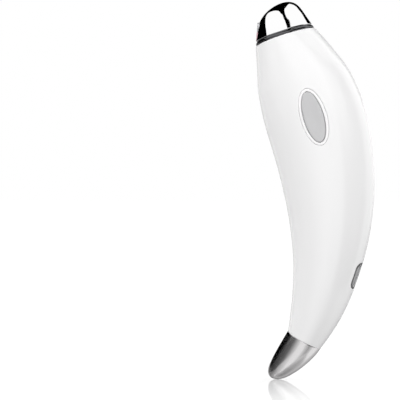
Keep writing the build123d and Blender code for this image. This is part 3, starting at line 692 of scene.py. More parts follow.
def port_finish(name, colour, rim, sizes):
    """Fine matt grey plastic with a painted shade along its rim, in place of the shade that the recess casts on
    the face: the shade starts where the fourth powers of the shares of the half width and the half length add up
    to its start value, and deepens over a span of one over its rise."""
    # Where the painted shade along the rim begins, and how fast it deepens.
    shade_start, shade_rise = 0.30, 5.0
    smoothest, coarsest = 0.42, 0.60
    material = bpy.data.materials.new(name)
    paint = Paint(material)
    lean = math.atan2(port_out[2], port_out[0])
    place = paint.where(turn=(0, -lean, 0), middle=tuple(port_place))
    parts = paint.node("ShaderNodeSeparateXYZ", {}, {"Vector": place})
    across = (parts.of("Y") / (sizes.width / 2)) ** 4.0
    along = (parts.of("Z") / (sizes.length / 2)) ** 4.0
    # Mask of the painted shade: nothing on the open face, rising to full at the rim, where the recess would shade
    # the face.
    edge = ((across + along - shade_start) * shade_rise).clamp()
    grain = paint.noise(0.15 * MM, detail=3.0, roughness=0.6)
    drift = paint.noise(2 * MM)
    face = paint.blend(drift, shade(colour, 0.95), shade(colour, 1.05))
    # Painted shade: the face turns to the dark rim colour along that mask.
    tone = paint.blend(edge, face, shade(rim, 1.0))
    inputs = {"Base Color": tone, "Roughness": smoothest + (coarsest - smoothest) * grain,
              "Normal": paint.bump(grain, 0.002 * MM)}
    shader = paint.node("ShaderNodeBsdfPrincipled", {}, inputs)
    paint.show(shader)
    return material


# Finishes of the pieces inside, by the record's slots: colour, metallic, roughness, spread of the
# colour, and the size of its patches, the grain and the grain's lift in millimetres.
INNER_FINISHES = {
    "steel": ((0.82, 0.82, 0.83), 0.6, (0.25, 0.40), 0.06, 2, 0.2, 0.001),
    "black_plastic": ((0.025, 0.025, 0.027), 0.0, (0.35, 0.55), 0.15, 2, 0.15, 0.002),
    "natural_plastic": ((0.72, 0.70, 0.64), 0.0, (0.35, 0.50), 0.04, 6, 0.3, 0.002),
    "board_green": ((0.02, 0.16, 0.07), 0.0, (0.25, 0.45), 0.25, 1.2, 0.2, 0.004),
    "brass": ((0.74, 0.55, 0.26), 1.0, (0.20, 0.35), 0.08, 2, 0.2, 0.001),
    "copper_coil": ((0.70, 0.32, 0.14), 1.0, (0.30, 0.45), 0.12, 0.8, 0.12, 0.02),
    "silicone": ((0.55, 0.56, 0.58), 0.0, (0.50, 0.65), 0.03, 3, 0.25, 0.003),
    "film_orange": ((0.75, 0.30, 0.05), 0.0, (0.20, 0.35), 0.08, 1.5, 0.2, 0.001),
    "led_lens": ((0.85, 0.80, 0.55), 0.0, (0.10, 0.20), 0.05, 0.8, 0.1, 0.0005),
    "cell_wrap": ((0.62, 0.63, 0.66), 0.6, (0.25, 0.40), 0.05, 4, 0.5, 0.006),
    "foam_tape": ((0.05, 0.05, 0.055), 0.0, (0.80, 0.95), 0.25, 0.6, 0.12, 0.03),
    "lead_red": ((0.60, 0.03, 0.02), 0.0, (0.35, 0.50), 0.06, 1.5, 0.15, 0.002),
}


# ---- pieces --------------------------------------------------------------------------------
class WAND_OT_shells(bpy.types.Operator):
    """Makes the two shells of the handle, with the openings of the button and the charging port"""
    bl_idname = "wand.shells"
    bl_label = "Handle shells"

    def execute(self, context):
        scene = context.scene
        handle = Handle(scene)
        white = shell_finish("gloss_white", scene.wand_colours.shell)
        for name, side in (("front_shell", -1), ("back_shell", 1)):
            made = self.shell(scene, handle, f"{name}_skin", side)
            dress(made, white, "housing", "white_shell", name)
        return {"FINISHED"}

    def shell(self, scene, handle, name, side):
        """Half sections along the spine, rounded at both ends and along both seams."""
        self.side = side
        sizes = scene.wand_handle
        round_in, round_up = (part[::-1] for part in quarter(sizes.edge))
        ends, margin = round_in / sizes.length, 2 * sizes.edge / sizes.length
        even = np.linspace(margin, 1 - margin, SHELL_ROWS)
        share = np.concatenate([ends, even, 1 - ends[::-1]])
        inset = np.concatenate([round_up, 0 * even, round_up[::-1]])
        outer, inner = self.columns(handle, share, inset)
        port_hole, port_rows = self.port_opening(scene, handle, outer, inner, share)
        skin = Skin()
        holes = [port_hole]
        if side < 0:
            button_hole, button_rows = self.button_opening(scene, handle, outer, inner)
            holes.insert(0, button_hole)
            skin.grid(button_rows, wrap=True)
        for grid in (outer, inner):
            self.with_holes(skin, grid, holes)
        skin.grid(port_rows)
        self.close(skin, outer, inner, port_hole, port_rows)
        return skin.build(name)

    def columns(self, handle, share, inset):
        """The outer grid, whose columns take even steps of the turn between two edges that a quarter
        turn rounds, and the inner grid, with a column for each of the outer one's."""
        sizes, side = handle.sizes, self.side
        rim_up, rim_in = (part[::-1] for part in quarter(sizes.edge))
        low = sizes.seam / 2
        first_step, close_step = 0.004, 0.001

        def rows(grow, rim, shares):
            """Points at shares of the half turn between the heights of a rim."""
            depth = handle.section(share, grow)[3]
            start = np.arcsin((low + rim) / depth)
            turn = start[:, None] + (math.pi - 2 * start[:, None]) * shares
            return handle.at_turn(share[:, None] + 0 * turn, turn, grow[:, None] + 0 * turn, side)

        shares = np.concatenate([[0], np.linspace(first_step, 1 - first_step, SHELL_COLUMNS), [1]])
        body = rows(-inset, sizes.edge, shares)
        edges = [handle.at_level(share[:, None] + 0 * rim_up, low + rim_up + 0 * share[:, None],
                                 -inset[:, None] - rim_in, way, side) for way in (1, -1)]
        outer = np.concatenate([edges[0][:, :-1], body, edges[1][:, -2::-1]], 1)
        close = np.arange(EDGE_STEPS) * close_step
        rim = EDGE_STEPS * close_step
        shares = np.concatenate([close, rim + (1 - 2 * rim) * shares, 1 - close[::-1]])
        inner = rows(np.full_like(share, -sizes.wall), 0.0, shares)
        return outer, inner

    def with_holes(self, skin, grid, holes):
        """Lays a grid with one hole, or with two in two bands that meet between them."""
        cut = 0
        if len(holes) == 2:
            cut = (holes[0][1] + holes[1][0]) // 2
            skin.grid(grid[:cut + 1], hole=holes[0])
        low, high, left, right = holes[-1]
        skin.grid(grid[cut:], hole=(low - cut, high - cut, left, right))

    def close(self, skin, outer, inner, hole, rows):
        """Joins the outer to the inner grid along the two ends and the two seams, and the half of
        the port's opening to itself across the seam."""
        first, last = hole[:2]
        for pair in ((outer[0], inner[0]), (outer[-1], inner[-1]), (outer[:, -1], inner[:, -1]),
                     (outer[:first + 1, 0], inner[:first + 1, 0]), (outer[last:, 0], inner[last:, 0])):
            skin.grid(np.array(pair))
        for end in (0, -1):
            path = rows[:, end]
            skin.grid(np.array([path[:PORT_RINGS + 1], path[::-1][:PORT_RINGS + 1]]))
            skin.polygon(path[PORT_RINGS:len(path) - PORT_RINGS])

    def port_opening(self, scene, handle, outer, inner, share):
        """The slot of the charging port, half of it in each shell."""
        port, sizes, side = scene.wand_port, scene.wand_handle, self.side
        spare_along, spare_up = 2.6 * MM, 2.4 * MM
        search = 0.04
        low = sizes.seam / 2
        along = (outer[:, 0] - port_place) @ port_run
        near = np.nonzero(np.abs(along) < port.length / 2 + spare_along)[0]
        first, last = near[0], near[-1]
        level = np.abs(outer[(first + last) // 2, :, 1] - middle_y)
        right = int(np.argmax(level > port.width / 2 + spare_up))
        hole = (first, last, 0, right)
        reach_low, reach_high = share[first] - search, min(share[last] + search, 1.0)

        def flat(points):
            return (points - port_place) @ port_run, np.abs(points[:, 1] - middle_y) - low

        def rounded(level, grow):
            """The growth of a shell's surface, less the rounding of its edge along the seam."""
            left = np.clip(sizes.edge - (level - low), 0, sizes.edge)
            return grow - (sizes.edge - np.sqrt(sizes.edge ** 2 - left ** 2))

        def lift(a, b, grow):
            level = b + low
            return handle.beside(port_place, port_run, a, level, rounded(level, grow), 1, side,
                                 reach_low, reach_high)

        def lift_inner(a, b):
            return handle.beside(port_place, port_run, a, b + low, -sizes.wall, 1, side,
                                 reach_low, reach_high)

        def outline(turn, margin):
            return reach(turn, port.length / 2 + margin, port.width / 2 + margin, port.corner + margin)

        wall = [(port.gap + out, -down) for out, down in zip(*quarter(sizes.edge))]
        return hole, opening(outer, inner, hole, flat, outline, lift, lift_inner, wall, PORT_RINGS, True)

    def button_opening(self, scene, handle, outer, inner):
        """The stepped oval seat of the bezel and, through it, the way of the cap."""
        button, sizes, side = scene.wand_button, scene.wand_handle, self.side
        middle = (button_low + button_high) / 2
        c, s = math.cos(button.lean), math.sin(button.lean)
        rim = button.gap + button.bezel_width + button.bezel_gap
        spare = 4

        def leaning(points):
            off = points - middle
            return off[..., 0] * c + off[..., 2] * s, off[..., 2] * c - off[..., 0] * s

        across, up = leaning(outer)
        near = (np.abs(across) < button.half_width + rim) & (np.abs(up) < button.half_length + rim)
        near &= side * (outer[..., 1] - middle_y) > 2 * sizes.wall
        rows, columns = np.nonzero(near)
        hole = (rows.min() - spare, rows.max() + spare, columns.min() - spare, columns.max() + spare)

        def lift(a, b, grow):
            return handle.under(middle[0] + a * c - b * s, middle[2] + a * s + b * c, grow, side)

        def lift_inner(a, b):
            return lift(a, b, -sizes.wall)

        def outline(turn, margin):
            return oval_reach(turn, button.half_width + margin, button.half_length + margin)

        wall = [(rim + out, -down) for out, down in zip(*quarter(sizes.edge))]
        wall += [(rim, -button.bezel_depth), (button.gap, -button.bezel_depth)]
        return hole, opening(outer, inner, hole, leaning, outline, lift, lift_inner, wall, BUTTON_RINGS)


class WAND_OT_button(bpy.types.Operator):
    """Makes the oval button cap and the white ring round it"""
    bl_idname = "wand.button"
    bl_label = "Button and bezel"

    def execute(self, context):
        scene = context.scene
        sizes = scene.wand_button
        handle = Handle(scene)
        middle = (button_low + button_high) / 2
        turn = full_turn(BUTTON_COLUMNS)
        c, s = math.cos(sizes.lean), math.sin(sizes.lean)

        def row(margin, grow=None, y=None, share=1.0):
            """Oval with a margin, on the grown handle or at a depth."""
            a = share * (sizes.half_width + margin) * np.cos(turn)
            b = share * (sizes.half_length + margin) * np.sin(turn)
            x, z = middle[0] + a * c - b * s, middle[2] + a * s + b * c
            if y is None:
                return handle.under(x, z, grow, -1)
            return np.stack([x, np.full_like(x, y), z], -1)

        colours = scene.wand_colours
        self.cap(sizes, row, button_finish("satin_silver", colours.button))
        self.bezel(sizes, row, shell_finish("bezel_white", colours.bezel))
        return {"FINISHED"}

    def cap(self, sizes, row, material):
        """Profile from the middle of the hollow face out over its rim, down the side, over the
        ledge and back under it; the face's height is proud - dish * (1 - share^2)^2."""
        edge = 0.35 * MM
        rows = []
        for share in np.linspace(0, 1, FACE_ROWS, endpoint=False):
            rows.append(row(-edge, sizes.proud - sizes.dish * (1 - share ** 2) ** 2, share=share))
        rows += [row(-back, sizes.proud - down) for back, down in zip(*quarter(edge, CAP_EDGE_STEPS))]
        back = button_high[1]
        front = back - sizes.flange_thickness
        rows += [row(0, y=front), row(sizes.flange_width, y=front), row(sizes.flange_width, y=back),
                 row(0, y=back, share=0)]
        skin = Skin()
        skin.grid(np.array(rows), wrap=True)
        dress(skin.build("button_cap_skin"), material, "button", "button_silver", "button_cap")

    def bezel(self, sizes, row, material):
        """Closed profile carried round the oval: outer wall, half round crown, inner wall, foot."""
        low, high = sizes.gap, sizes.gap + sizes.bezel_width
        half = sizes.bezel_width / 2
        drop = 0.16 * MM
        arc = np.linspace(0, math.pi, CROWN_STEPS + 1)
        crown = [(low + half + half * math.cos(a), sizes.bezel_proud - drop * (1 - math.sin(a))) for a in arc]
        profile = [(high, -sizes.bezel_depth)] + crown + [(low, -sizes.bezel_depth)]
        rows = [row(margin, grow) for margin, grow in profile]
        skin = Skin()
        skin.grid(np.array(rows + rows[:1]), wrap=True)
        dress(skin.build("button_bezel_skin"), material, "housing", "bezel_white", "button_bezel")


class WAND_OT_head(bpy.types.Operator):
    """Makes the chrome dome and the beaded collar under it"""
    bl_idname = "wand.head"
    bl_label = "Massage head and collar"

    def execute(self, context):
        scene = context.scene
        handle = Handle(scene)
        chrome = chrome_finish("mirror_chrome", scene.wand_colours.chrome)
        self.dome(scene, handle, chrome)
        self.collar(scene, handle, chrome_finish("dark_chrome", scene.wand_colours.collar))
        return {"FINISHED"}

    def dome(self, scene, handle, material):
        """The dome's outer and inner surface, with the pad's pocket through its wall."""
        sizes = scene.wand_head
        dome, lining = Dome(sizes, handle), Dome(sizes, handle, sizes.wall)
        edge = 0.12 * MM
        spare_up, spare_side, deepest = 0.8 * MM, 0.9 * MM, 2.4 * MM
        highest = 0.93
        set_in, set_up = (part[::-1] for part in quarter(edge))
        start = sizes.collar_height / sizes.height
        climb = to_tip(start + 2 * edge / sizes.height, sizes.round_power, DOME_ROWS, DOME_TOP_ROWS)
        share = np.concatenate([start + set_in / sizes.height, climb])
        inset = np.concatenate([set_up, 0 * climb])
        outer = dome.around(share, inset, DOME_COLUMNS)
        inner_start = sizes.collar_height / lining.height
        inner_share = inner_start + (share - start) * (1 - inner_start) / (1 - start)
        inner = lining.around(inner_share, 0 * share, DOME_COLUMNS)
        place, normal, up = pad_frame(sizes, handle)
        offset = outer - place
        near = (np.abs(offset @ up) < sizes.pad_height / 2 + spare_up) & (offset @ normal > -deepest)
        near &= np.abs(offset[..., 1]) < sizes.pad_width / 2 + spare_side
        near &= inset[:, None] == 0
        rows, columns = np.nonzero(near)
        hole = (max(rows.min() - 1, len(set_in)), rows.max() + 1, columns.min() - 1, columns.max() + 1)

        def flat(points):
            return (points - place) @ up, points[:, 1] - middle_y

        def lifted(form):
            def lift(a, b, grow=0.0):
                return form.beside(place, up, a, np.abs(b), grow + 0 * a, -1, np.sign(b), 0.0, highest)
            return lift

        def outline(turn, margin):
            return reach(turn, sizes.pad_height / 2 + margin, sizes.pad_width / 2 + margin,
                         sizes.pad_corner + margin)

        wall = [(sizes.pad_gap + out, -down) for out, down in zip(*quarter(edge))]
        skin = cup(outer, inner, hole)
        skin.grid(opening(outer, inner, hole, flat, outline, lifted(dome), lifted(lining), wall, PAD_RINGS),
                  wrap=True)
        dress(skin.build("massage_head_skin"), material, "housing", "chrome", "massage_head")

    def collar(self, scene, handle, material):
        """Closed profile carried round the head's sections: groove, half round bead, groove."""
        sizes = scene.wand_head
        dome = Dome(sizes, handle)
        height, bead, groove = sizes.collar_height, sizes.bead_height, sizes.groove
        low = (height - bead) / 2
        arc = np.linspace(-math.pi / 2, math.pi / 2, BEAD_STEPS + 1)
        profile = [(0.0, sizes.wall), (0.0, groove), (low, groove)]
        profile += [(height / 2 + bead / 2 * math.sin(a), groove * (1 - math.cos(a))) for a in arc]
        profile += [(height - low, groove), (height, groove), (height, sizes.wall)]
        rise = np.array([place for place, _ in profile + profile[:1]])
        inset = np.array([depth for _, depth in profile + profile[:1]])
        skin = Skin()
        skin.grid(dome.around(rise / sizes.height, inset, COLLAR_COLUMNS), wrap=True)
        dress(skin.build("head_collar_skin"), material, "housing", "chrome", "head_collar")


def pad_frame(sizes, handle):
    """The pad's middle, the direction that its face looks to, and the one up along the face."""
    place = handle.start - sizes.pad_across * head_across + sizes.pad_up * head_up
    c, s = math.cos(sizes.pad_lean), math.sin(sizes.pad_lean)
    return place, s * head_up - c * head_across, c * head_up + s * head_across


class WAND_OT_pad(bpy.types.Operator):
    """Makes the heated contact and the light window, the two halves of the crowned pad"""
    bl_idname = "wand.pad"
    bl_label = "Contact and window"

    def execute(self, context):
        scene = context.scene
        sizes, colours = scene.wand_head, scene.wand_colours
        handle = Handle(scene)
        contact = contact_finish("contact_plate", colours.contact)
        window = window_finish("milky_red", colours.window)
        self.half(sizes, handle, 1, sizes.contact_thickness, "contact_plate", contact, "contact_metal")
        self.half(sizes, handle, -1, sizes.window_thickness, "light_window", window, "window_red")
        return {"FINISHED"}

    def half(self, sizes, handle, way, thickness, name, material, slot):
        """Rings of one half of the pad's outline: up its side, over a rounded edge, and in to the
        middle of the face, whose height is sqrt(crown^2 - across^2) - crown."""
        place, normal, up = pad_frame(sizes, handle)
        edge = 0.25 * MM
        split_corner, least_corner = 0.35 * MM, 0.05 * MM
        roundest = 0.999         # share of the half height that a corner's radius may take
        low, high = sizes.pad_split / 2, sizes.pad_height / 2
        centre = (low + high) / 2
        turn = full_turn(PAD_COLUMNS)

        def ring(margin, depth, share=1.0, foot=None):
            """Outline set in by a margin and shrunk to a share, under the face or at the foot."""
            half_a, half_b = (high - low) / 2 - margin, sizes.pad_width / 2 - margin
            outside = np.cos(turn) > 0
            corner = np.where(outside, min(sizes.pad_corner - margin, half_a * roundest),
                              split_corner - margin)
            corner = np.maximum(corner, least_corner)
            far = share * reach(turn, half_a, half_b, corner)
            a, b = way * (centre + far * np.cos(turn)), far * np.sin(turn)
            crown = np.sqrt(sizes.pad_crown ** 2 - b ** 2) - sizes.pad_crown
            rise = foot + 0 * b if foot is not None else crown - depth
            return place + a[:, None] * up + b[:, None] * (0, 1, 0) + rise[:, None] * normal

        rows = [ring(0, 0, 0.0, -thickness), ring(0, 0, 1.0, -thickness)]
        rows += [ring(back, down) for down, back in zip(*quarter(edge, PAD_EDGE_STEPS))]
        rows += [ring(edge, 0, share) for share in np.linspace(1, 0, PAD_ROWS + 1)[1:]]
        skin = Skin()
        skin.grid(np.array(rows), wrap=True)
        dress(skin.build(f"{name}_skin"), material, "housing", slot, name)


class WAND_OT_port(bpy.types.Operator):
    """Makes the grey bezel of the charging port"""
    bl_idname = "wand.port"
    bl_label = "Charging port"

    def execute(self, context):
        scene = context.scene
        sizes = scene.wand_port
        handle = Handle(scene)
        turn = full_turn(PORT_COLUMNS)
        centre = port_place + sizes.socket_sink * port_out
        lowest = 0.5             # share of the spine below which the port lies

        def outline(half_length, half_width, corner, margin):
            far = reach(turn, half_length + margin, half_width + margin, corner + margin)
            return far * np.cos(turn), far * np.sin(turn)

        def mouth(margin):
            return outline(sizes.mouth_length / 2, sizes.mouth_width / 2, sizes.mouth_width / 2, margin)

        def rim(margin):
            return outline(sizes.length / 2, sizes.width / 2, sizes.corner, margin)

        def on_surface(spot, sink):
            """Points that lie under the shells' surface by a sink."""
            a, b = spot
            return handle.beside(port_place, port_run, a, np.abs(b), -sink, 1, np.sign(b), lowest, 1.0)

        def at_depth(spot, depth):
            """Points that lie behind the level face of the port."""
            a, b = spot
            return centre + a[:, None] * port_run + b[:, None] * (0, 1, 0) - depth * port_out

        edge = 0.12 * MM
        bend = list(zip(*quarter(edge)))
        sink, ledge = sizes.sink, sizes.flange_depth
        foot = ledge + sizes.flange_thickness
        rows = [at_depth(mouth(0), foot)]
        rows += [on_surface(mouth(back), sink + down) for down, back in bend]
        inner, outer = np.array(mouth(edge)), np.array(rim(-edge))
        for t in np.linspace(0, 1, PORT_ROWS + 1)[1:-1]:
            rows.append(on_surface(inner + (outer - inner) * t, sink))
        rows += [on_surface(rim(-back), sink + down) for down, back in reversed(bend)]
        rows += [at_depth(rim(0), ledge), at_depth(rim(sizes.flange), ledge)]
        rows += [at_depth(rim(sizes.flange), foot)]
        skin = Skin()
        skin.grid(np.array(rows + rows[:1]), wrap=True)
        colours = context.scene.wand_colours
        # The third colour is a painted shade for the rim of the port's face.
        grey = port_finish("port_grey", colours.port, colours.port_rim, sizes)
        dress(skin.build("port_bezel_skin"), grey, "housing", "port_grey", "port_bezel")
        return {"FINISHED"}


class WAND_OT_tail(bpy.types.Operator):
    """Makes the cup of the metal tail"""
    bl_idname = "wand.tail"
    bl_label = "Tail"

    def execute(self, context):
        scene = context.scene
        sizes = scene.wand_tail
        handle = Handle(scene)
        tip, lining = Tip(sizes, handle), Tip(sizes, handle, sizes.wall)
        edge = 0.12 * MM
        set_in, set_up = (part[::-1] for part in quarter(edge))
        drop = to_tip(2 * edge / sizes.height, sizes.round_power, TAIL_ROWS, TAIL_TIP_ROWS)
        share = np.concatenate([set_in / sizes.height, drop])
        outer = tip.around(share, np.concatenate([set_up, 0 * drop]), TAIL_COLUMNS)
        skin = cup(outer, lining.around(share, 0 * share, TAIL_COLUMNS))
        satin = tail_finish("satin_metal", scene.wand_colours.tail)
        dress(skin.build("tail_cap_skin"), satin, "housing", "satin_metal", "tail_cap")
        return {"FINISHED"}


class WAND_OT_inside(bpy.types.Operator):
    """Gives the pieces inside the wand, and the socket of the charging port, their finishes"""
    bl_idname = "wand.inside"
    bl_label = "Inner finishes"

    def execute(self, context):
        finishes = {}
        for slot, (colour, metallic, rough, spread, cloud, grain, lift) in INNER_FINISHES.items():
            finishes[slot] = finish(f"inner_{slot}", colour, metallic, rough, spread, cloud * MM,
                                    grain * MM, lift * MM)
        for node in frame["nodes"].values():
            if not node.hide_render:
                slot = node.data.materials[0].name.split(".")[0]
                node.data.materials.clear()
                node.data.materials.append(finishes[slot])
        return {"FINISHED"}


# ---- stage ---------------------------------------------------------------------------------
WHITE = (1, 1, 1, 1)
FLOOR_WHITE = 1.03         # strength at which the floor is white to the camera
FLOOR_MATT = 0.96          # tone of the floor's matt share, which takes the shadow
FLOOR_SHADE = 0.5          # that share under the tip
FLOOR_IOR = 1.45           # of the floor's gloss, which is strongest at a grazing look
FLOOR_MIRROR = 0.8         # share of that gloss under the tip
FLOOR_ROUGHNESS = 0.03
LAMP_SIZE = 1.0            # metres across
CAMERA_SENSOR = 36.0       # millimetres


class WAND_OT_stage(bpy.types.Operator):
    """Makes the floor, the white tent, the lamps, the camera and the cards that metal mirrors"""
    bl_idname = "wand.stage"
    bl_label = "Studio stage"

    def execute(self, context):
        stage = context.scene.wand_stage
        a = stage.azimuth
        self.towards = np.array((math.sin(a), -math.cos(a), 0.0))
        self.right = np.array((math.cos(a), math.sin(a), 0.0))
        self.middle = Handle(context.scene).start + np.array((stage.middle_back, 0.0, -stage.middle_down))
        self.floor(stage)
        self.tent(stage)
        self.lamps(stage)
        for card in CARDS:
            self.card(stage, *card)
        self.camera(stage)
        context.scene.view_settings.view_transform = "Standard"
        return {"FINISHED"}

    def direction(self, azimuth, elevation):
        """Unit vectors at angles round the wand and up, from the camera's direction."""
        turn, rise = np.radians(azimuth), np.radians(elevation)
        level = np.multiply.outer(np.cos(turn), self.towards) + np.multiply.outer(np.sin(turn), self.right)
        return np.cos(rise)[..., None] * level + np.multiply.outer(np.sin(rise), (0.0, 0.0, 1.0))

    def floor(self, stage):
        """White floor that keeps a faint shadow, with a faint mirror close to the tip."""
        half = stage.floor_half
        mesh = bpy.data.meshes.new("floor")
        corners = [(-half, -half, 0), (half, -half, 0), (half, half, 0), (-half, half, 0)]
        mesh.from_pydata(corners, [], [(0, 1, 2, 3)])
        floor = new_object("floor", mesh)
        material = bpy.data.materials.new("floor_white")
        paint = Paint(material)
        foot = sum(np.array(corner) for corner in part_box("tail_cap")) / 2
        spot = paint.where(middle=(foot[0], foot[1], 0.0))
        far = paint.node("ShaderNodeVectorMath", {"operation": "LENGTH"}, {0: spot}, "Value")
        grazing = paint.node("ShaderNodeFresnel", {}, {"IOR": FLOOR_IOR})
        mirror = grazing * (1 - far / stage.mirror_reach).clamp() ** 2.0
        seen = paint.node("ShaderNodeLightPath")
        white = paint.node("ShaderNodeEmission", {}, {"Color": WHITE, "Strength": FLOOR_WHITE})
        matt = paint.node("ShaderNodeBsdfDiffuse", {}, {"Color": shade(WHITE, FLOOR_MATT)})
        gloss = paint.node("ShaderNodeBsdfGlossy", {}, {"Color": WHITE, "Roughness": FLOOR_ROUGHNESS})
        soft = paint.node("ShaderNodeEmission", {}, {"Color": WHITE, "Strength": stage.ambient})
        shaded = FLOOR_SHADE * (1 - far / stage.shadow_reach).clamp()
        lit = paint.node("ShaderNodeMixShader", {}, {0: shaded, 1: white, 2: matt})
        shown = paint.node("ShaderNodeMixShader", {}, {0: mirror * FLOOR_MIRROR, 1: lit, 2: gloss})
        paint.show(paint.node("ShaderNodeMixShader", {}, {0: seen, 1: soft, 2: shown}))
        mesh.materials.append(material)
        floor.visible_glossy = False

    def tent(self, stage):
        """The white tent all round: full white to the camera and in reflections, softer as a light."""
        world = bpy.data.worlds.new("white_tent")
        bpy.context.scene.world = world
        paint = Paint(world)
        path = paint.node("ShaderNodeLightPath")
        seen = (path.of("Is Camera Ray") + path.of("Is Glossy Ray") + path.of("Is Transmission Ray")).clamp()
        strength = stage.ambient + (1 - stage.ambient) * seen
        paint.show(paint.node("ShaderNodeBackground", {}, {"Color": WHITE, "Strength": strength}))

    def lamps(self, stage):
        """Soft lamps that give the white handle its roundness; they don't show in reflections.  A
        disk's light on a surface that faces it is its energy over (pi * distance)^2."""
        for name, azimuth, elevation, strength in LAMPS:
            data = bpy.data.lights.new(name, "AREA")
            data.shape = "DISK"
            data.size = LAMP_SIZE
            data.energy = strength * stage.lamps * (math.pi * stage.lamp_distance) ** 2
            lamp = new_object(name, data)
            spot = self.middle + stage.lamp_distance * self.direction(azimuth, elevation)
            lamp.location = spot
            lamp.rotation_euler = look(spot, self.middle)
            lamp.visible_glossy = False
            lamp.visible_camera = False

    def card(self, stage, name, tones, first, last):
        """Piece of a sphere round the wand that only reflections show.  It is ruled between two
        edges of as many points, and its tone goes evenly from the first edge to the last."""
        first, last = self.direction(*np.transpose(first)), self.direction(*np.transpose(last))
        across = np.linspace(0, 1, CARD_STEPS + 1)
        points = first + across[:, None, None] * (last - first)
        points = self.middle + stage.card_distance * points / np.linalg.norm(points, axis=-1, keepdims=True)
        count = np.arange(points[..., 0].size).reshape(points.shape[:2])
        quads = np.stack([count[:-1, :-1], count[1:, :-1], count[1:, 1:], count[:-1, 1:]], -1)
        mesh = bpy.data.meshes.new(name)
        mesh.from_pydata(points.reshape(-1, 3).tolist(), [], quads.reshape(-1, 4).tolist())
        shades = tones[0] + across * (tones[1] - tones[0])
        tone = mesh.attributes.new("tone", "FLOAT", "POINT")
        tone.data.foreach_set("value", np.repeat(shades, points.shape[1]).astype(np.float32))
        card = new_object(name, mesh)
        material = bpy.data.materials.new(name)
        paint = Paint(material)
        tone = paint.node("ShaderNodeAttribute", {"attribute_name": "tone"}, {}, "Fac")
        paint.show(paint.node("ShaderNodeEmission", {}, {"Color": tone, "Strength": 1.0}))
        mesh.materials.append(material)
        card.visible_camera = False
        card.visible_diffuse = False
        card.visible_transmission = False
        card.visible_shadow = False

    def camera(self, stage):
        data = bpy.data.cameras.new("camera")
        data.sensor_width = CAMERA_SENSOR
        data.lens = data.sensor_width * stage.distance / stage.view_width
        camera = new_object("camera", data)
        spot = self.middle + stage.distance * self.towards
        aim = self.middle - stage.aim_left * self.right - stage.aim_down * np.array((0, 0, 1.0))
        camera.location = spot
        camera.rotation_euler = look(spot, aim)
        bpy.context.scene.camera = camera


def look(spot, aim):
    """Rotation of a camera or lamp that looks from one point to another."""
    return Vector(aim - spot).to_track_quat("-Z", "Y").to_euler()


# Lamps: name, azimuth and elevation in degrees from the camera's direction, and the share of a
# white surface's brightness that the lamp gives when it faces the surface.
LAMPS = (
    ("front_lamp", 32.0, 27.0, 0.544),
    ("left_lamp", -72.0, 17.0, 0.42),
    ("rim_lamp", 145.0, 25.0, 0.635),
    ("left_rim_lamp", -125.0, 15.0, 0.3),
)


def upright(azimuth, *elevations):
    """Points of a card's edge at one azimuth."""
    return tuple((azimuth, elevation) for elevation in elevations)


def level(elevation, *azimuths):
    """Points of a card's edge at one elevation."""
    return tuple((azimuth, elevation) for azimuth in azimuths)


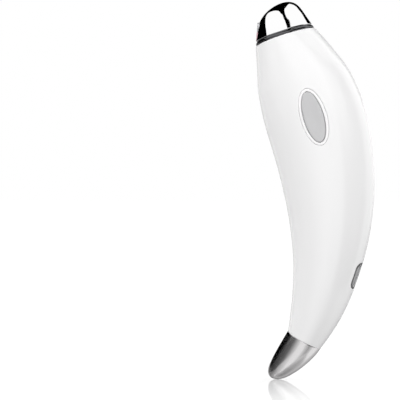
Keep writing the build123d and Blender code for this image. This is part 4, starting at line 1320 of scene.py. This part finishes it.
# Cards: name, tones of the first and last edge, and both edges' azimuths and elevations in degrees
# from the camera's direction.
CARDS = (
    ("left_card", (0.0, 0.0),
     ((-82, 17), (-87.5, 17), (-94.5, 16), (-98, 5), (-102, 5), (-106, 5), (-111, 5), (-117, 5), (-126, 5),
      (-135, 5), (-145, 5), (-170, 5)),
     ((-82, 21.8), (-87.5, 22.4), (-94.5, 24.1), (-98, 25.6), (-101, 26.6), (-106, 28.7), (-111, 29.9),
      (-117, 31.4), (-126, 31.3), (-135, 32.3), (-143, 33), (-160, 45))),
    ("bridge_card", (0.0, 0.0),
     ((-1, 46), (-3, 51.8), (-4, 52.1), (-5, 52.3), (-6.5, 52.6), (-8, 52.9), (-9.7, 54), (-14, 57),
      (-21, 60), (-39, 63), (-53, 65), (-71, 66), (-90, 63), (-108, 58), (-121, 51), (-131, 44), (-140, 35)),
     ((40, 42), (38, 50), (30, 55.7), (23, 56.0), (18.5, 55.8), (14, 55.5), (9.3, 56), (6.2, 58.3),
      (3.3, 61.5), (-3, 69), (-8, 75), (-14, 82), (90, 88), (163, 80), (167, 69), (168, 59), (166, 55))),
    ("back_card", (0.0, 0.0),
     ((-128, 47), (-134, 42), (-140, 36), (-142, 30), (-143, 24), (-143, 20), (-150, 3.5)),
     ((152, 55), (139, 44.5), (132.5, 37.8), (136, 33.8), (139, 27), (141, 20), (150, 11))),
    ("right_card", (0.0, 0.0), upright(138, 11, 20, 30), upright(168, 11, 20, 30)),
    ("window_card", (0.0, 0.0), ((20, -28), (20, 0), (22, 36), (30, 48)),
     ((88, -28), (88, 0), (88, 36), (84, 48))),
    ("dark_card", (0.04, 0.12), upright(-97, -22, 0, 15.5), upright(-62, -22, 0, 19)),
    ("dim_card", (0.12, 0.16), upright(-62, -22, 0, 19), upright(-53, -22, 0, 17)),
    ("rise_card", (0.16, 0.88), upright(-53, -22, 0, 17), upright(-23, -22, 0, 14)),
    ("side_card", (0.04, 0.2), level(5, -97, -115, -130), level(-22, -97, -115, -130)),
    ("side_end_card", (0.45, 0.5), level(5, -130, -150, -170), level(-22, -130, -150, -170)),
    ("left_floor_card", (0.2, 0.5), level(-22, -170, -120, -84, -62),
     ((-170, -60), (-120, -60), (-84, -55), (-62, -38))),
    ("front_floor_card", (0.45, 0.85), ((-62, -22), (-62, -38), (-84, -55)),
     ((-28, -22), (-28, -40), (-34, -57))),
    ("floor_card", (0.6, 0.25), level(-58, -180, -120, -60, 0, 60, 120, 180),
     level(-89, -180, -120, -60, 0, 60, 120, 180)),
    ("band_card", (0.85, 0.4), upright(5, -28, -58), upright(36, -28, -58)),
    ("band_end_card", (0.4, 0.85), upright(36, -28, -58), upright(68, -28, -58)),
    ("edge_card", (0.8, 0.3), upright(120, -58, -30, -12), upright(172, -58, -30, 2)),
    ("back_floor_card", (0.3, 0.3), upright(172, -58, -30, -14), upright(190, -58, -30, -14)),
)

OPERATORS = (WAND_OT_shells, WAND_OT_button, WAND_OT_head, WAND_OT_pad, WAND_OT_port, WAND_OT_tail,
             WAND_OT_inside, WAND_OT_stage)


class WAND_PT_panel(bpy.types.Panel):
    """Lists the wand's pieces and their sizes"""
    bl_idname = "WAND_PT_panel"
    bl_label = "Eye massager wand"
    bl_space_type = "VIEW_3D"
    bl_region_type = "UI"
    bl_category = "Wand"

    def draw(self, context):
        for operator in OPERATORS:
            self.layout.operator(operator.bl_idname)
        for name, group in GROUPS.items():
            box = self.layout.box()
            box.label(text=group.__doc__)
            for size in group.__annotations__:
                box.prop(getattr(context.scene, name), size)


def register():
    for group in GROUPS.values():
        bpy.utils.register_class(group)
    for name, group in GROUPS.items():
        setattr(bpy.types.Scene, name, bpy.props.PointerProperty(type=group))
    for operator in OPERATORS:
        bpy.utils.register_class(operator)
    bpy.utils.register_class(WAND_PT_panel)


def unregister():
    bpy.utils.unregister_class(WAND_PT_panel)
    for operator in reversed(OPERATORS):
        bpy.utils.unregister_class(operator)
    for name in GROUPS:
        delattr(bpy.types.Scene, name)
    for group in reversed(GROUPS.values()):
        bpy.utils.unregister_class(group)


def main():
    register()
    for operator in OPERATORS:
        name = operator.bl_idname.split(".")[1]
        getattr(bpy.ops.wand, name)()


if __name__ == "__main__":
    main()
